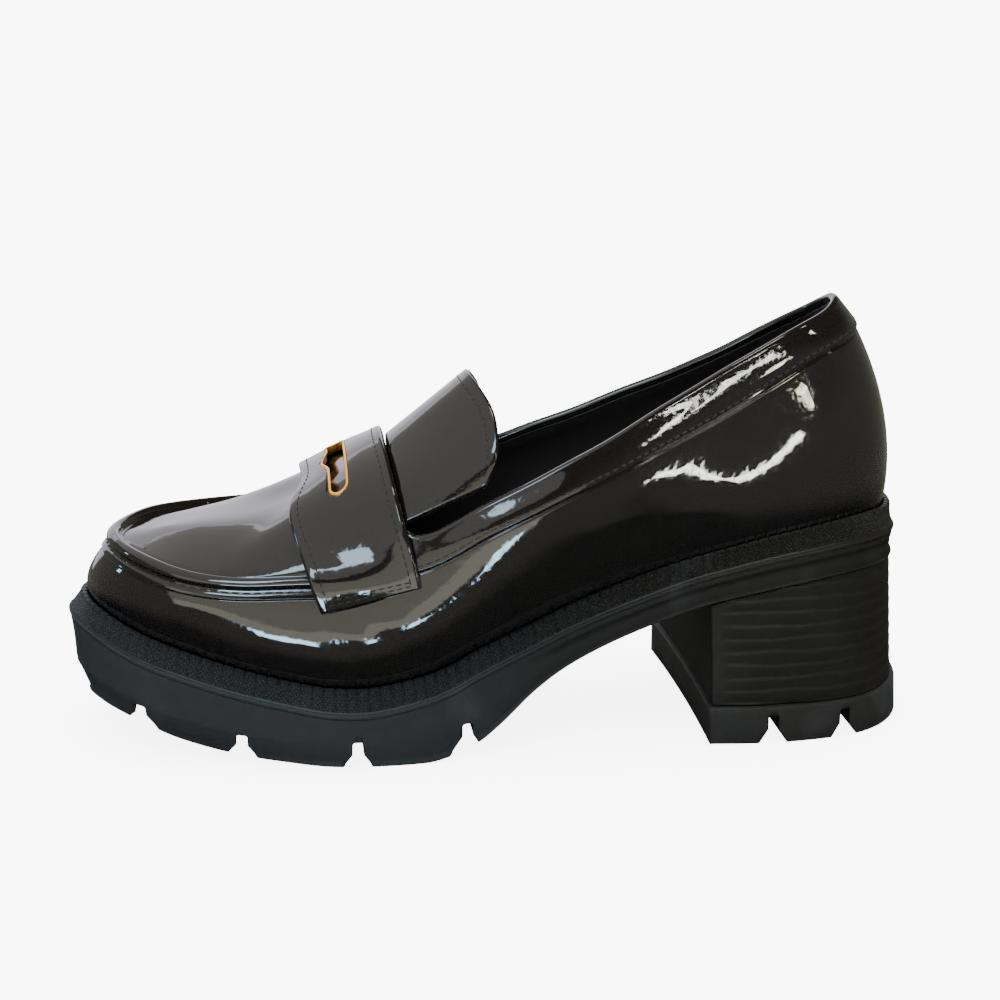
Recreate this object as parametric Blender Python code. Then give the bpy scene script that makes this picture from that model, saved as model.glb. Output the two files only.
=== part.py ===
"""Platform loafer pump on a block heel, a left shoe of EU size 37.

Metres, +Z up. The toe points to -X, the outer (lateral) side of the foot is -Y. Sections run from the back of
the heel (0) to the tip of the toe (1). The origin is on the floor, under the middle lug of the heel.
"""
import math

import bmesh
import bpy
import numpy as np
from mathutils import Vector
from mathutils.bvhtree import BVHTree

MM = 0.001

# Overall sizes of the sole unit, measured at its bead line
LENGTH = 243.5 * MM
BALL_WIDTH = 88.0 * MM
PLATFORM = 16.2 * MM
SEAT_RISE = 42.6 * MM
SEAT_SIDE = 9.1 * MM
TOE_SPRING = 11.5 * MM
TOE_LIFT = 20.3 * MM
TUCK = 9.0 * MM

# Welt band: it slopes in from the bead line up to a flat rim, round a sunk seat for the upper
WELT_HEIGHT = 6.6 * MM
LEDGE = 4.3 * MM
RIM_WIDTH = 1.4 * MM
SEAT_DEPTH = 2.2 * MM
BEAD_SIZE = 0.9 * MM
EDGE_ROUND = 0.8 * MM

# Side of the sole: plain and upright down to a knee, then tucked in to the tread. Shares of its height and tuck
KNEE_HEIGHT = 0.42
KNEE_TUCK = 0.14

# Heel
BREAST = 62.2 * MM
BREAST_HOLLOW = 1.0 * MM
BREAST_SHARES = (0.25, 0.5, 0.75)
LIFT_THICKNESS = 11.0 * MM
LIFT_EDGE = 1.3 * MM
HEEL_FLARE = 1.6 * MM
HEEL_LEAN = 2.4 * MM
RIB_PITCH = 3.9 * MM
RIB_DEPTH = 0.8 * MM
RIB_GROOVE = 0.8 * MM
RIB_BACK = 0.4

# Transverse notches between the lugs
NOTCH_WIDTH = 3.1 * MM
NOTCH_MOUTH = 7.0 * MM
NOTCH_DEPTH = 7.8 * MM
LIFT_NOTCH_DEPTH = 8.6 * MM

# Upper
COLLAR_HEIGHT = 62.0 * MM
WALL = 1.8 * MM
MARGIN = 8.0 * MM
CLEARANCE = 0.3 * MM
SEAM_RISE = 2.1 * MM
SEAM_WIDTH = 1.7 * MM
SEAM_FLANGE = 4.8 * MM
FLANGE_STEP = 0.7 * MM
BAND_STEP = 0.8 * MM

# Strap, slot, tongue and footbed
STRAP_THICKNESS = 2.0 * MM
STRAP_RISE = 1.8 * MM
SLOT_LENGTH = 0.443 * BALL_WIDTH
SLOT_WIDTH = 5.5 * MM
SLOT_PEAK = 1.7 * MM
SLOT_PEAK_WIDTH = 0.41 * SLOT_LENGTH
FRAME_WIRE = 1.3 * MM
TONGUE_THICKNESS = 1.7 * MM
INSOLE_THICKNESS = 3.0 * MM

# Counts of facets
STEPS = 2
STRAP_STEPS = 35
STRAP_EVENING = 4
TONGUE_STEPS = 16

HEEL_HEIGHT = PLATFORM + SEAT_RISE - SEAT_SIDE

# Plan of the sole unit at its bead line. along: share of LENGTH; half: share of half BALL_WIDTH; centre: shift
# to the inner side, share of BALL_WIDTH; tuck: how far the tread edge lies inside; ledge: width of the welt band
OUTLINE_COLUMNS = ("along", "half", "centre", "tuck", "ledge")
OUTLINE = (
    (0.000, 0.000, 0.000, 0.03, 0.51),
    (0.009, 0.307, 0.000, 0.03, 0.51),
    (0.035, 0.560, 0.008, 0.03, 0.56),
    (0.078, 0.735, 0.015, 0.03, 0.65),
    (0.139, 0.807, 0.017, 0.03, 0.74),
    (0.205, 0.810, 0.015, 0.03, 0.79),
    (0.279, 0.745, 0.003, 0.06, 0.79),
    (0.361, 0.689, -0.017, 0.09, 0.81),
    (0.443, 0.732, -0.023, 0.11, 0.88),
    (0.525, 0.848, -0.017, 0.11, 0.98),
    (0.607, 0.950, -0.003, 0.09, 1.00),
    (0.689, 1.000, 0.014, 0.22, 1.00),
    (0.770, 0.968, 0.024, 0.46, 0.98),
    (0.844, 0.850, 0.022, 0.72, 0.98),
    (0.906, 0.700, 0.017, 0.84, 0.98),
    (0.953, 0.505, 0.013, 0.84, 0.98),
    (0.986, 0.280, 0.011, 0.72, 0.98),
    (1.000, 0.000, 0.011, 0.50, 0.98),
)

# Side view of the sole unit. arch: underside behind the ball, share of HEEL_HEIGHT; spring: tread before the
# ball, share of TOE_SPRING; ramp and lift: bead line behind and before the ball, shares of SEAT_RISE and
# TOE_LIFT; welt: height of the rim over the bead line, share of WELT_HEIGHT
PROFILE_COLUMNS = ("along", "arch", "spring", "ramp", "lift", "welt")
PROFILE = (
    (0.000, 0.986, 0.000, 0.984, 0.000, 0.98),
    (0.057, 0.996, 0.000, 1.000, 0.000, 1.00),
    (0.156, 0.940, 0.000, 0.935, 0.000, 0.88),
    (0.254, 0.829, 0.000, 0.800, 0.000, 0.80),
    (0.352, 0.644, 0.000, 0.599, 0.000, 0.88),
    (0.422, 0.483, 0.000, 0.450, 0.000, 0.88),
    (0.459, 0.362, 0.000, 0.361, 0.000, 0.88),
    (0.504, 0.171, 0.000, 0.263, 0.000, 0.88),
    (0.529, 0.085, 0.000, 0.203, 0.000, 0.91),
    (0.561, 0.024, 0.000, 0.116, 0.000, 0.90),
    (0.590, 0.000, 0.000, 0.064, 0.000, 0.88),
    (0.664, 0.000, 0.000, 0.000, 0.000, 0.90),
    (0.689, 0.000, 0.000, 0.000, 0.011, 0.90),
    (0.754, 0.000, 0.080, 0.000, 0.157, 0.88),
    (0.820, 0.000, 0.175, 0.000, 0.328, 0.92),
    (0.869, 0.000, 0.330, 0.000, 0.478, 0.94),
    (0.906, 0.000, 0.520, 0.000, 0.599, 0.96),
    (0.939, 0.000, 0.690, 0.000, 0.734, 0.97),
    (0.967, 0.000, 0.815, 0.000, 0.872, 0.94),
    (1.000, 0.000, 0.900, 0.000, 1.000, 0.91),
)

# Sections of the upper, one for each row of OUTLINE. seam: the moc seam round the apron, which runs on as the
# lower edge of the collar band; edge: topline and throat, and the crest of the apron before them. along: share
# of LENGTH; half: share of half BALL_WIDTH; outer and inner: height over the seat, share of COLLAR_HEIGHT.
# The leans are degrees from upright, outwards at the foot, inwards below and above the seam
UPPER_COLUMNS = (
    "seam_along", "seam_half", "seam_outer", "seam_inner",
    "edge_along", "edge_half", "edge_outer", "edge_inner",
    "foot_lean", "seam_lean", "top_lean",
)
UPPER = (
    (0.061, 0.000, 0.871, 0.871, 0.086, 0.000, 0.989, 0.989, 8, 30, 35),
    (0.067, 0.170, 0.855, 0.835, 0.091, 0.136, 0.972, 0.953, 8, 29, 32),
    (0.084, 0.314, 0.814, 0.780, 0.111, 0.261, 0.921, 0.876, 9, 26, 28),
    (0.119, 0.414, 0.760, 0.705, 0.148, 0.364, 0.865, 0.783, 10, 22, 24),
    (0.172, 0.500, 0.692, 0.632, 0.197, 0.443, 0.813, 0.706, 11, 18, 22),
    (0.234, 0.580, 0.623, 0.565, 0.254, 0.511, 0.760, 0.652, 14, 15, 20),
    (0.299, 0.643, 0.590, 0.549, 0.316, 0.568, 0.721, 0.640, 19, 14, 20),
    (0.373, 0.700, 0.570, 0.556, 0.381, 0.614, 0.695, 0.648, 26, 14, 20),
    (0.447, 0.745, 0.569, 0.584, 0.451, 0.652, 0.686, 0.673, 33, 15, 20),
    (0.520, 0.773, 0.562, 0.599, 0.525, 0.682, 0.674, 0.687, 36, 17, 22),
    (0.598, 0.784, 0.527, 0.610, 0.602, 0.686, 0.658, 0.707, 36, 20, 26),
    (0.669, 0.773, 0.513, 0.594, 0.620, 0.477, 0.871, 0.888, 36, 24, 34),
    (0.731, 0.757, 0.449, 0.534, 0.626, 0.000, 0.926, 0.926, 34, 29, 42),
    (0.793, 0.716, 0.369, 0.453, 0.688, 0.000, 0.736, 0.736, 30, 35, 56),
    (0.846, 0.641, 0.315, 0.386, 0.745, 0.000, 0.529, 0.529, 26, 40, 70),
    (0.891, 0.511, 0.284, 0.328, 0.805, 0.000, 0.402, 0.402, 22, 43, 80),
    (0.926, 0.295, 0.269, 0.285, 0.854, 0.000, 0.335, 0.335, 18, 45, 86),
    (0.943, 0.000, 0.270, 0.270, 0.883, 0.000, 0.303, 0.303, 16, 45, 88),
)
CREST_ROW = 12          # from this section on, both sides meet along the crest of the apron
BAND_END = 10.2         # the raised band ends here, and the moc seam has its full form from MOC_START on
MOC_START = 11.2
UPPER_CENTRE = 0.8      # share of the sole's inward swing that the seam and the crest follow
FOOT_PULL, SEAM_PULL, TOP_PULL, CREST_PULL = 0.36, 0.34, 0.40, 0.44

# Rows of the wall below the seam, as shares of the way up to the seam's flange, and of the apron above it
WALL_SHARES = (0.0, 0.16, 0.38, 0.62, 0.85)
TOP_SHARES = (0.42, 0.72, 1.0)

# Strap: from the outer to the inner side over the foot. front and back: place of its two edges, shares of LENGTH,
# each with its angle from upright in degrees; rise: how far its back edge stands off, share of STRAP_RISE
STRAP_COLUMNS = ("front_turn", "back_turn", "front", "back", "rise")
STRAP = (
    (-92.5, -83.0, 0.703, 0.598, 0.0),
    (-70.0, -66.0, 0.722, 0.606, 0.1),
    (-38.0, -38.0, 0.733, 0.620, 0.6),
    (0.0, 0.0, 0.713, 0.628, 1.0),
    (38.0, 38.0, 0.717, 0.620, 0.6),
    (70.0, 66.0, 0.713, 0.606, 0.1),
    (92.5, 83.0, 0.703, 0.598, 0.0),
)
STRAP_SHARES = (0.0, 0.3, 0.6, 0.85)
STRAP_OVERHANG = 0.6
STRAP_AXIS = 46.0 * MM
STRAP_LIFT = 1.1 * MM
SLOT_PLACE = 0.682

# Tongue: from its crest out to its side. across: share of half its width; throat and rear edge, each with its
# place (share of LENGTH), half width (share of half BALL_WIDTH) and height over PLATFORM (share of COLLAR_HEIGHT)
TONGUE_COLUMNS = ("across", "root_along", "root_half", "root_up", "tip_along", "tip_half", "tip_up")
TONGUE = (
    (0.00, 0.621, 0.000, 1.105, 0.530, 0.000, 1.400),
    (0.10, 0.621, 0.070, 1.104, 0.529, 0.080, 1.398),
    (0.35, 0.619, 0.235, 1.060, 0.517, 0.270, 1.340),
    (0.62, 0.615, 0.440, 0.975, 0.506, 0.440, 1.245),
    (0.84, 0.611, 0.570, 0.890, 0.505, 0.585, 1.115),
    (1.00, 0.608, 0.640, 0.820, 0.522, 0.655, 0.965),
)

# Places of the notches, as shares of LENGTH
TREAD_NOTCHES = (0.915, 0.799, 0.668, 0.541)
LIFT_NOTCHES = (0.176, 0.085)
ORIGIN_ALONG = sum(LIFT_NOTCHES) / len(LIFT_NOTCHES) * LENGTH

OUTER, INNER = -1, 1


def table_value(rows, columns, name, at):
    """Smooth value of a column at a fractional row, with the end rows mirrored in along and half."""
    column = columns.index(name)
    last = len(rows) - 1

    def cell(row):
        if row < 0:
            return end_value(rows[-row][column])
        if row > last:
            return end_value(rows[2 * last - row][column])
        return rows[row][column]

    def end_value(value):
        return -value if name.endswith("half") else value

    low = min(int(at), last - 1)
    share = at - low
    a, b, c, d = (cell(low + step) for step in (-1, 0, 1, 2))
    return 0.5 * (2 * b + (c - a) * share + (2 * a - 5 * b + 4 * c - d) * share ** 2
                  + (3 * b - a - 3 * c + d) * share ** 3)


def graph_value(rows, columns, key, name, at):
    """Smooth value of a column over another column that rises from row to row."""
    keys = [row[columns.index(key)] for row in rows]
    values = [row[columns.index(name)] for row in rows]
    low = max(0, min(int(np.searchsorted(keys, at, side="right")) - 1, len(rows) - 2))

    def slope(row):
        if row in (0, len(rows) - 1):
            near = 1 if row == 0 else row - 1
            return (values[near] - values[row]) / (keys[near] - keys[row])
        before = (values[row] - values[row - 1]) / (keys[row] - keys[row - 1])
        after = (values[row + 1] - values[row]) / (keys[row + 1] - keys[row])
        return 0.0 if before * after <= 0 else 2 * before * after / (before + after)

    width = keys[low + 1] - keys[low]
    u = (at - keys[low]) / width
    return ((2 * u ** 3 - 3 * u ** 2 + 1) * values[low] + (u ** 3 - 2 * u ** 2 + u) * width * slope(low)
            + (3 * u ** 2 - 2 * u ** 3) * values[low + 1] + (u ** 3 - u ** 2) * width * slope(low + 1))


def outline_value(name, at):
    return table_value(OUTLINE, OUTLINE_COLUMNS, name, at)


def profile_value(name, along):
    return graph_value(PROFILE, PROFILE_COLUMNS, "along", name, along)


def upper_value(name, at):
    return table_value(UPPER, UPPER_COLUMNS, name, at)


def tread_height(along):
    """Height of the underside of the sole unit, at a share of LENGTH."""
    return max(0.0, profile_value("arch", along)) * HEEL_HEIGHT + profile_value("spring", along) * TOE_SPRING


def bead_height(along):
    return PLATFORM + profile_value("ramp", along) * SEAT_RISE + profile_value("lift", along) * TOE_LIFT


def rim_height(along):
    return bead_height(along) + profile_value("welt", along) * WELT_HEIGHT


def seat_height(along):
    return rim_height(along) - SEAT_DEPTH


def place(along, across, up):
    """Point of the row's frame from a length from the back of the heel, a side distance and a height."""
    return Vector((ORIGIN_ALONG - along, across, up))


def smoothstep(low, high, value):
    share = min(1.0, max(0.0, (value - low) / (high - low)))
    return share * share * (3 - 2 * share)


def bezier(points, share):
    a, b, c, d = points
    rest = 1 - share
    return a * rest ** 3 + b * (3 * rest ** 2 * share) + c * (3 * rest * share ** 2) + d * share ** 3


def loop_stations(last_row, steps=STEPS):
    """(row, side) round the shoe: along the outer side to the last row and back along the inner side."""
    count = round(last_row * steps)
    there = [(index / steps, OUTER) for index in range(count)]
    back = [(index / steps, INNER) for index in range(count, 0, -1)]
    return there + back


def outline_point(at, side):
    """Bead line in plan, as a length from the heel and a side distance."""
    return (outline_value("along", at) * LENGTH,
            outline_value("centre", at) * BALL_WIDTH + side * outline_value("half", at) * BALL_WIDTH / 2)


def outline_normal(at, side):
    """Outward normal of the bead line in plan, in lengths from the heel and side distances."""
    step = 0.02
    if at < step or at > len(OUTLINE) - 1 - step:
        return (-1.0, 0.0) if at < step else (1.0, 0.0)
    ahead, behind = outline_point(at + step, side), outline_point(at - step, side)
    run, rise = ahead[0] - behind[0], ahead[1] - behind[1]
    length = math.hypot(run, rise)
    return (-rise * side / length, run * side / length)


def inset_point(at, side, inset, up):
    """Point of the bead line moved inwards in plan. up is a height, or a function of the share of LENGTH."""
    along, across = outline_point(at, side)
    normal = outline_normal(at, side)
    along -= normal[0] * inset
    if callable(up):
        up = up(min(1.0, max(0.0, along / LENGTH)))
    return place(along, across - normal[1] * inset, up)


def new_material(name, colour, roughness, metallic=0.0):
    material = bpy.data.materials.new(name)
    material.use_nodes = True
    shader = material.node_tree.nodes["Principled BSDF"]
    shader.inputs["Base Color"].default_value = (*colour, 1.0)
    shader.inputs["Roughness"].default_value = roughness
    shader.inputs["Metallic"].default_value = metallic
    return material


def new_object(name, mesh_builder, collection, material=None):
    """Mesh object from a bmesh, with its normals facing out."""
    bmesh.ops.recalc_face_normals(mesh_builder, faces=mesh_builder.faces)
    mesh = bpy.data.meshes.new(name)
    mesh_builder.to_mesh(mesh)
    mesh_builder.free()
    made = bpy.data.objects.new(name, mesh)
    collection.objects.link(made)
    if material:
        mesh.materials.append(material)
        mesh.shade_smooth()
        mesh.set_sharp_from_angle(angle=math.radians(35))
    return made


def loft(builder, rings, closed=True):
    """Faces between neighbouring rings of points, as rings of vertices."""
    made = [[builder.verts.new(point) for point in ring] for ring in rings]
    join_rings(builder, made, closed)
    return made


def join_rings(builder, rings, closed=True):
    for low, high in zip(rings, rings[1:]):
        for index in range(len(low) if closed else len(low) - 1):
            after = (index + 1) % len(low)
            corners = []
            for vert in (low[index], low[after], high[after], high[index]):
                if vert not in corners:
                    corners.append(vert)
            if len(corners) > 2 and not builder.faces.get(corners):
                builder.faces.new(corners)


def ladder(builder, ring):
    """Cap of a ring whose two halves pass the same sections: faces straight across from side to side."""
    count = len(ring)
    for index in range(count // 2):
        corners = []
        for vert in (ring[index], ring[index + 1], ring[(count - index - 1) % count], ring[(count - index) % count]):
            if vert not in corners:
                corners.append(vert)
        builder.faces.new(corners)


def sole_ring(inset, up):
    """Ring round the sole unit. inset and up are functions of the row and of the share of LENGTH."""
    return [inset_point(at, side, inset(at), up) for at, side in loop_stations(len(OUTLINE) - 1)]


def ledge_width(at):
    return outline_value("ledge", at) * LEDGE


def seat_inset(at):
    """Inset of the wall of the sunk seat."""
    return ledge_width(at) + RIM_WIDTH


def build_outsole(collection, material):
    builder = bmesh.new()

    def tuck(at):
        return outline_value("tuck", at) * TUCK

    def knee_height(along):
        return tread_height(along) + (bead_height(along) - tread_height(along)) * KNEE_HEIGHT

    rings = [
        sole_ring(lambda at: tuck(at) + EDGE_ROUND, tread_height),
        sole_ring(tuck, lambda along: tread_height(along) + EDGE_ROUND),
        sole_ring(lambda at: BEAD_SIZE + tuck(at) * KNEE_TUCK, knee_height),
        sole_ring(lambda at: BEAD_SIZE, lambda along: bead_height(along) - 1.6 * BEAD_SIZE),
        sole_ring(lambda at: 0.0, lambda along: bead_height(along) - BEAD_SIZE),
        sole_ring(lambda at: 0.0, bead_height),
        sole_ring(lambda at: BEAD_SIZE, lambda along: bead_height(along) + BEAD_SIZE / 2),
        sole_ring(lambda at: ledge_width(at) - BEAD_SIZE, lambda along: rim_height(along) - BEAD_SIZE),
        sole_ring(ledge_width, rim_height),
        sole_ring(seat_inset, rim_height),
        sole_ring(seat_inset, seat_height),
    ]
    made = loft(builder, rings)
    ladder(builder, made[0])
    ladder(builder, made[-1])
    return new_object("outsole", builder, collection, material)


def notch_cutter(name, along, floor, depth, collection):
    """Prism across the sole: a slot that flares to its mouth at the tread."""
    builder = bmesh.new()
    reach = BALL_WIDTH
    below = floor - depth
    profile = (
        (-NOTCH_MOUTH / 2 - (floor - below) / 2, below),
        (-NOTCH_MOUTH / 2, floor),
        (-NOTCH_WIDTH / 2, floor + depth / 2),
        (-NOTCH_WIDTH / 2, floor + depth),
        (NOTCH_WIDTH / 2, floor + depth),
        (NOTCH_WIDTH / 2, floor + depth / 2),
        (NOTCH_MOUTH / 2, floor),
        (NOTCH_MOUTH / 2 + (floor - below) / 2, below),
    )
    face = builder.faces.new([builder.verts.new(place(along + run, -reach, up)) for run, up in profile])
    moved = bmesh.ops.extrude_face_region(builder, geom=[face])
    verts = [item for item in moved["geom"] if isinstance(item, bmesh.types.BMVert)]
    bmesh.ops.translate(builder, verts=verts, vec=(0, 2 * reach, 0))
    cutter = new_object(name, builder, collection)
    cutter.hide_render = True
    cutter.display_type = "WIRE"
    return cutter


def cut(target, cutter, name):
    modifier = target.modifiers.new(name, "BOOLEAN")
    modifier.operation = "DIFFERENCE"
    modifier.solver = "EXACT"
    modifier.object = cutter


def breast_row():
    """Row of OUTLINE at which the sole's side meets the breast of the heel."""
    low, high = 0.0, float(len(OUTLINE) - 1)
    for _ in range(30):
        middle = (low + high) / 2
        if outline_value("along", middle) * LENGTH < BREAST:
            low = middle
        else:
            high = middle
    return low


def heel_ring(up, outset=0.0, back_share=1.0):
    """Ring round the heel at a height: the sole's outline, flared to the floor and leaning back, closed by the
    breast. back_share scales the outset round the back of the heel."""
    down = 1 - up / HEEL_HEIGHT
    last = breast_row()
    count = round(last * STEPS) + 1
    rows = [last * index / (count - 1) for index in range(count)]

    def point(at, side):
        forward = at / last
        flare = HEEL_FLARE * (1 + forward ** 2) * down
        share = back_share + (1 - back_share) * smoothstep(0.1, 0.6, forward)
        return inset_point(at, side, EDGE_ROUND - flare - outset * share, up) + Vector((HEEL_LEAN * down, 0, 0))

    outer, inner = [point(at, OUTER) for at in rows], [point(at, INNER) for at in rows[:0:-1]]
    forward = Vector((-max(0.0, outset), 0, 0))
    outer[-1] += forward
    inner[0] += forward
    breast = [outer[-1].lerp(inner[0], share) + Vector((BREAST_HOLLOW * 4 * share * (1 - share), 0, 0))
              for share in BREAST_SHARES]
    return outer + breast + inner


def fill_ring(builder, ring):
    builder.faces.new(ring)


def build_heel(collection, cutters, material):
    """Block with the rounded ribs of a stacked heel, its top cut to the underside of the sole unit."""
    builder = bmesh.new()
    bottom = LIFT_THICKNESS + CLEARANCE
    top = HEEL_HEIGHT + RIB_PITCH
    rings = [heel_ring(bottom)]
    level = bottom + RIB_PITCH
    while level < top:
        for shift, depth in ((-RIB_GROOVE, 0.0), (0.0, -RIB_DEPTH), (RIB_GROOVE, 0.0)):
            rings.append(heel_ring(level + shift, depth, RIB_BACK))
        level += RIB_PITCH
    made = loft(builder, rings)
    fill_ring(builder, made[0])
    fill_ring(builder, made[-1])
    block = new_object("heel_block", builder, collection, material)
    cut(block, sole_space(cutters), "seat")
    return block


def sole_space(collection):
    """Cutter over the heel: everything above the underside of the sole unit, less a clearance."""
    builder = bmesh.new()
    reach = BALL_WIDTH
    steps = 12
    start, end = -BREAST / 4, BREAST * 1.25
    rows = []
    for index in range(steps + 1):
        along = start + (end - start) * index / steps
        up = tread_height(max(0.0, along / LENGTH)) - CLEARANCE
        rows.append([place(along, -reach, up), place(along, reach, up),
                     place(along, reach, 2 * HEEL_HEIGHT), place(along, -reach, 2 * HEEL_HEIGHT)])
    made = loft(builder, rows)
    fill_ring(builder, made[0])
    fill_ring(builder, made[-1])
    cutter = new_object("cut_sole_space", builder, collection)
    cutter.hide_render = True
    cutter.display_type = "WIRE"
    return cutter


def build_top_lift(collection, cutters, material):
    builder = bmesh.new()
    made = loft(builder, [
        heel_ring(0.0, LIFT_EDGE - EDGE_ROUND / 2),
        heel_ring(EDGE_ROUND, LIFT_EDGE),
        heel_ring(LIFT_THICKNESS - EDGE_ROUND / 2, LIFT_EDGE),
        heel_ring(LIFT_THICKNESS, LIFT_EDGE - EDGE_ROUND / 2),
    ])
    fill_ring(builder, made[0])
    fill_ring(builder, made[-1])
    lift = new_object("top_lift", builder, collection, material)
    for index, share in enumerate(LIFT_NOTCHES):
        name = f"cut_lift_notch_{index + 1}"
        cut(lift, notch_cutter(name, share * LENGTH, 0.0, LIFT_NOTCH_DEPTH, cutters), name)
    return lift


def upper_guides(at, side):
    """Foot, seam and edge points of the upper at a row, with the directions in which its wall leaves them."""
    seat = seat_height(outline_value("along", at))
    foot = inset_point(at, side, seat_inset(at) + CLEARANCE, rim_height)
    centre = UPPER_CENTRE * outline_value("centre", at) * BALL_WIDTH

    def guide(kind):
        crest = kind == "edge" and at >= CREST_ROW
        height = "outer" if crest or side == OUTER else "inner"
        half = 0.0 if crest else upper_value(kind + "_half", at)
        return place(upper_value(kind + "_along", at) * LENGTH,
                     centre + side * half * BALL_WIDTH / 2,
                     seat + upper_value(f"{kind}_{height}", at) * COLLAR_HEIGHT)

    normal = outline_normal(at, side)
    return foot, guide("seam"), guide("edge"), Vector((-normal[0], normal[1], 0))


def lean_vector(outwards, degrees):
    """Upward direction that leans outwards by an angle."""
    angle = math.radians(degrees)
    return outwards * math.sin(angle) + Vector((0, 0, math.cos(angle)))


def upper_curves(at, side):
    """Two curves of a section: from the foot to the seam, and from the seam to the edge."""
    foot, seam, edge, outwards = upper_guides(at, side)
    height = (seam - foot).length
    wall = (foot, foot + lean_vector(outwards, upper_value("foot_lean", at)) * height * FOOT_PULL,
            seam - lean_vector(-outwards, upper_value("seam_lean", at)) * height * SEAM_PULL, seam)
    inwards = edge - seam
    inwards.z = 0
    reach = (edge - seam).length
    inwards = inwards.normalized() if inwards.length > CLEARANCE else -outwards
    start = seam + lean_vector(inwards, upper_value("top_lean", at)) * reach * TOP_PULL
    crest = smoothstep(CREST_ROW - 2, CREST_ROW - 0.5, at)
    level = edge + Vector((0, (seam - edge).y * CREST_PULL, 0))
    end = edge.lerp(seam, 0.3).lerp(level, crest)
    return wall, (seam, start, end, edge)


def section_rows(at, side):
    """Points of a section on the bare last, and how far the leather rises over each of them."""
    wall, top = upper_curves(at, side)
    moc = smoothstep(BAND_END, MOC_START, at)
    wall_speed = 3 * (wall[3] - wall[2]).length
    top_speed = 3 * (top[1] - top[0]).length
    flange = 1 - (SEAM_FLANGE + EDGE_ROUND / 2) / wall_speed
    rows = [(inset_point(at, side, seat_inset(at) + CLEARANCE, lambda along: seat_height(along) + CLEARANCE), 0.0)]
    rows += [(bezier(wall, share * flange), 0.0) for share in WALL_SHARES]
    rows += [
        (bezier(wall, flange), 0.0),
        (bezier(wall, 1 - SEAM_FLANGE / wall_speed), FLANGE_STEP * moc),
        (bezier(wall, 1 - SEAM_WIDTH / wall_speed), FLANGE_STEP * moc),
        (bezier(wall, 1 - SEAM_WIDTH / 3 / wall_speed), SEAM_RISE * 0.9 * moc),
        (bezier(top, 0.0), SEAM_RISE * moc + BAND_STEP * (1 - moc)),
        (bezier(top, SEAM_WIDTH * 0.6 / top_speed), SEAM_RISE * 0.85 * moc + BAND_STEP * (1 - moc)),
        (bezier(top, SEAM_WIDTH * 1.1 / top_speed), BAND_STEP * (1 - moc)),
    ]
    rows += [(bezier(top, share), BAND_STEP * (1 - moc)) for share in TOP_SHARES]
    return rows


def last_skin():
    """Bare surface of the last: columns round the shoe, each with its points, rises and normals."""
    stations = loop_stations(len(UPPER) - 1)
    sections = [section_rows(at, side) for at, side in stations]
    builder = bmesh.new()
    rings = loft(builder, [[section[row][0] for section in sections] for row in range(len(sections[0]))])
    bmesh.ops.recalc_face_normals(builder, faces=builder.faces)
    builder.normal_update()
    flip = 1 if rings[2][0].normal.x > 0 else -1
    normals = [[vert.normal * flip for vert in ring] for ring in rings]
    count = len(stations)
    for index in range(count):
        at = stations[index][0]
        if at >= CREST_ROW:
            twin = (count - index) % count
            shared = (normals[-1][index] + normals[-1][twin]).normalized()
            normals[-1][index] = shared
            normals[-1][twin] = shared
    builder.free()
    return stations, sections, normals


def build_upper(collection, material):
    """Hollow shell: the raised outer skin, the inner skin a wall's thickness inside, and the lasting margin."""
    stations, sections, normals = last_skin()
    rows = len(sections[0])
    builder = bmesh.new()

    def skin(offset, first):
        rings = []
        for row in range(first, rows):
            rings.append([section[row][0] + normals[row][index] * offset(section[row][1])
                          for index, section in enumerate(sections)])
        return rings

    def margin(reach, up):
        return [inset_point(at, side, seat_inset(at) + CLEARANCE + reach,
                            lambda along: seat_height(along) + CLEARANCE + up)
                for at, side in stations]

    outer = skin(lambda rise: rise, 0)
    inner = skin(lambda rise: -WALL, 1)
    turned = [section[0][0] for section in sections]
    rings = inner[::-1] + [margin(WALL * 1.1, WALL), margin(MARGIN, WALL), margin(MARGIN, 0.0), turned] + outer[1:]
    made = loft(builder, rings)
    open_edge = [index for index, (at, _) in enumerate(stations) if at <= CREST_ROW]
    count = len(stations)
    for index in open_edge:
        after = (index + 1) % count
        if after in open_edge:
            corners = [made[0][index], made[0][after], made[-1][after], made[-1][index]]
            builder.faces.new(corners)
    bmesh.ops.remove_doubles(builder, verts=builder.verts, dist=CLEARANCE / 30)
    return new_object("upper", builder, collection, material)


def skin_tree():
    """Search tree of the outer skin with its raised seam, for what is laid over it."""
    _, sections, normals = last_skin()
    points, faces = [], []
    count, rows = len(sections), len(sections[0])
    for index, section in enumerate(sections):
        points += [section[row][0] + normals[row][index] * section[row][1] for row in range(rows)]
    for index in range(count):
        after = (index + 1) % count
        for row in range(rows - 1):
            faces.append((index * rows + row, after * rows + row, after * rows + row + 1, index * rows + row + 1))
    return BVHTree.FromPolygons(points, faces)


def over_skin(tree, along, turn):
    """Point of the skin at a length from the heel, seen from an axis inside the shoe at an angle from upright."""
    angle = math.radians(turn)
    axis = place(along, 0.0, STRAP_AXIS)
    direction = Vector((0, math.sin(angle), math.cos(angle)))
    return tree.ray_cast(axis + direction * BALL_WIDTH, -direction)[0], direction


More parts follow.
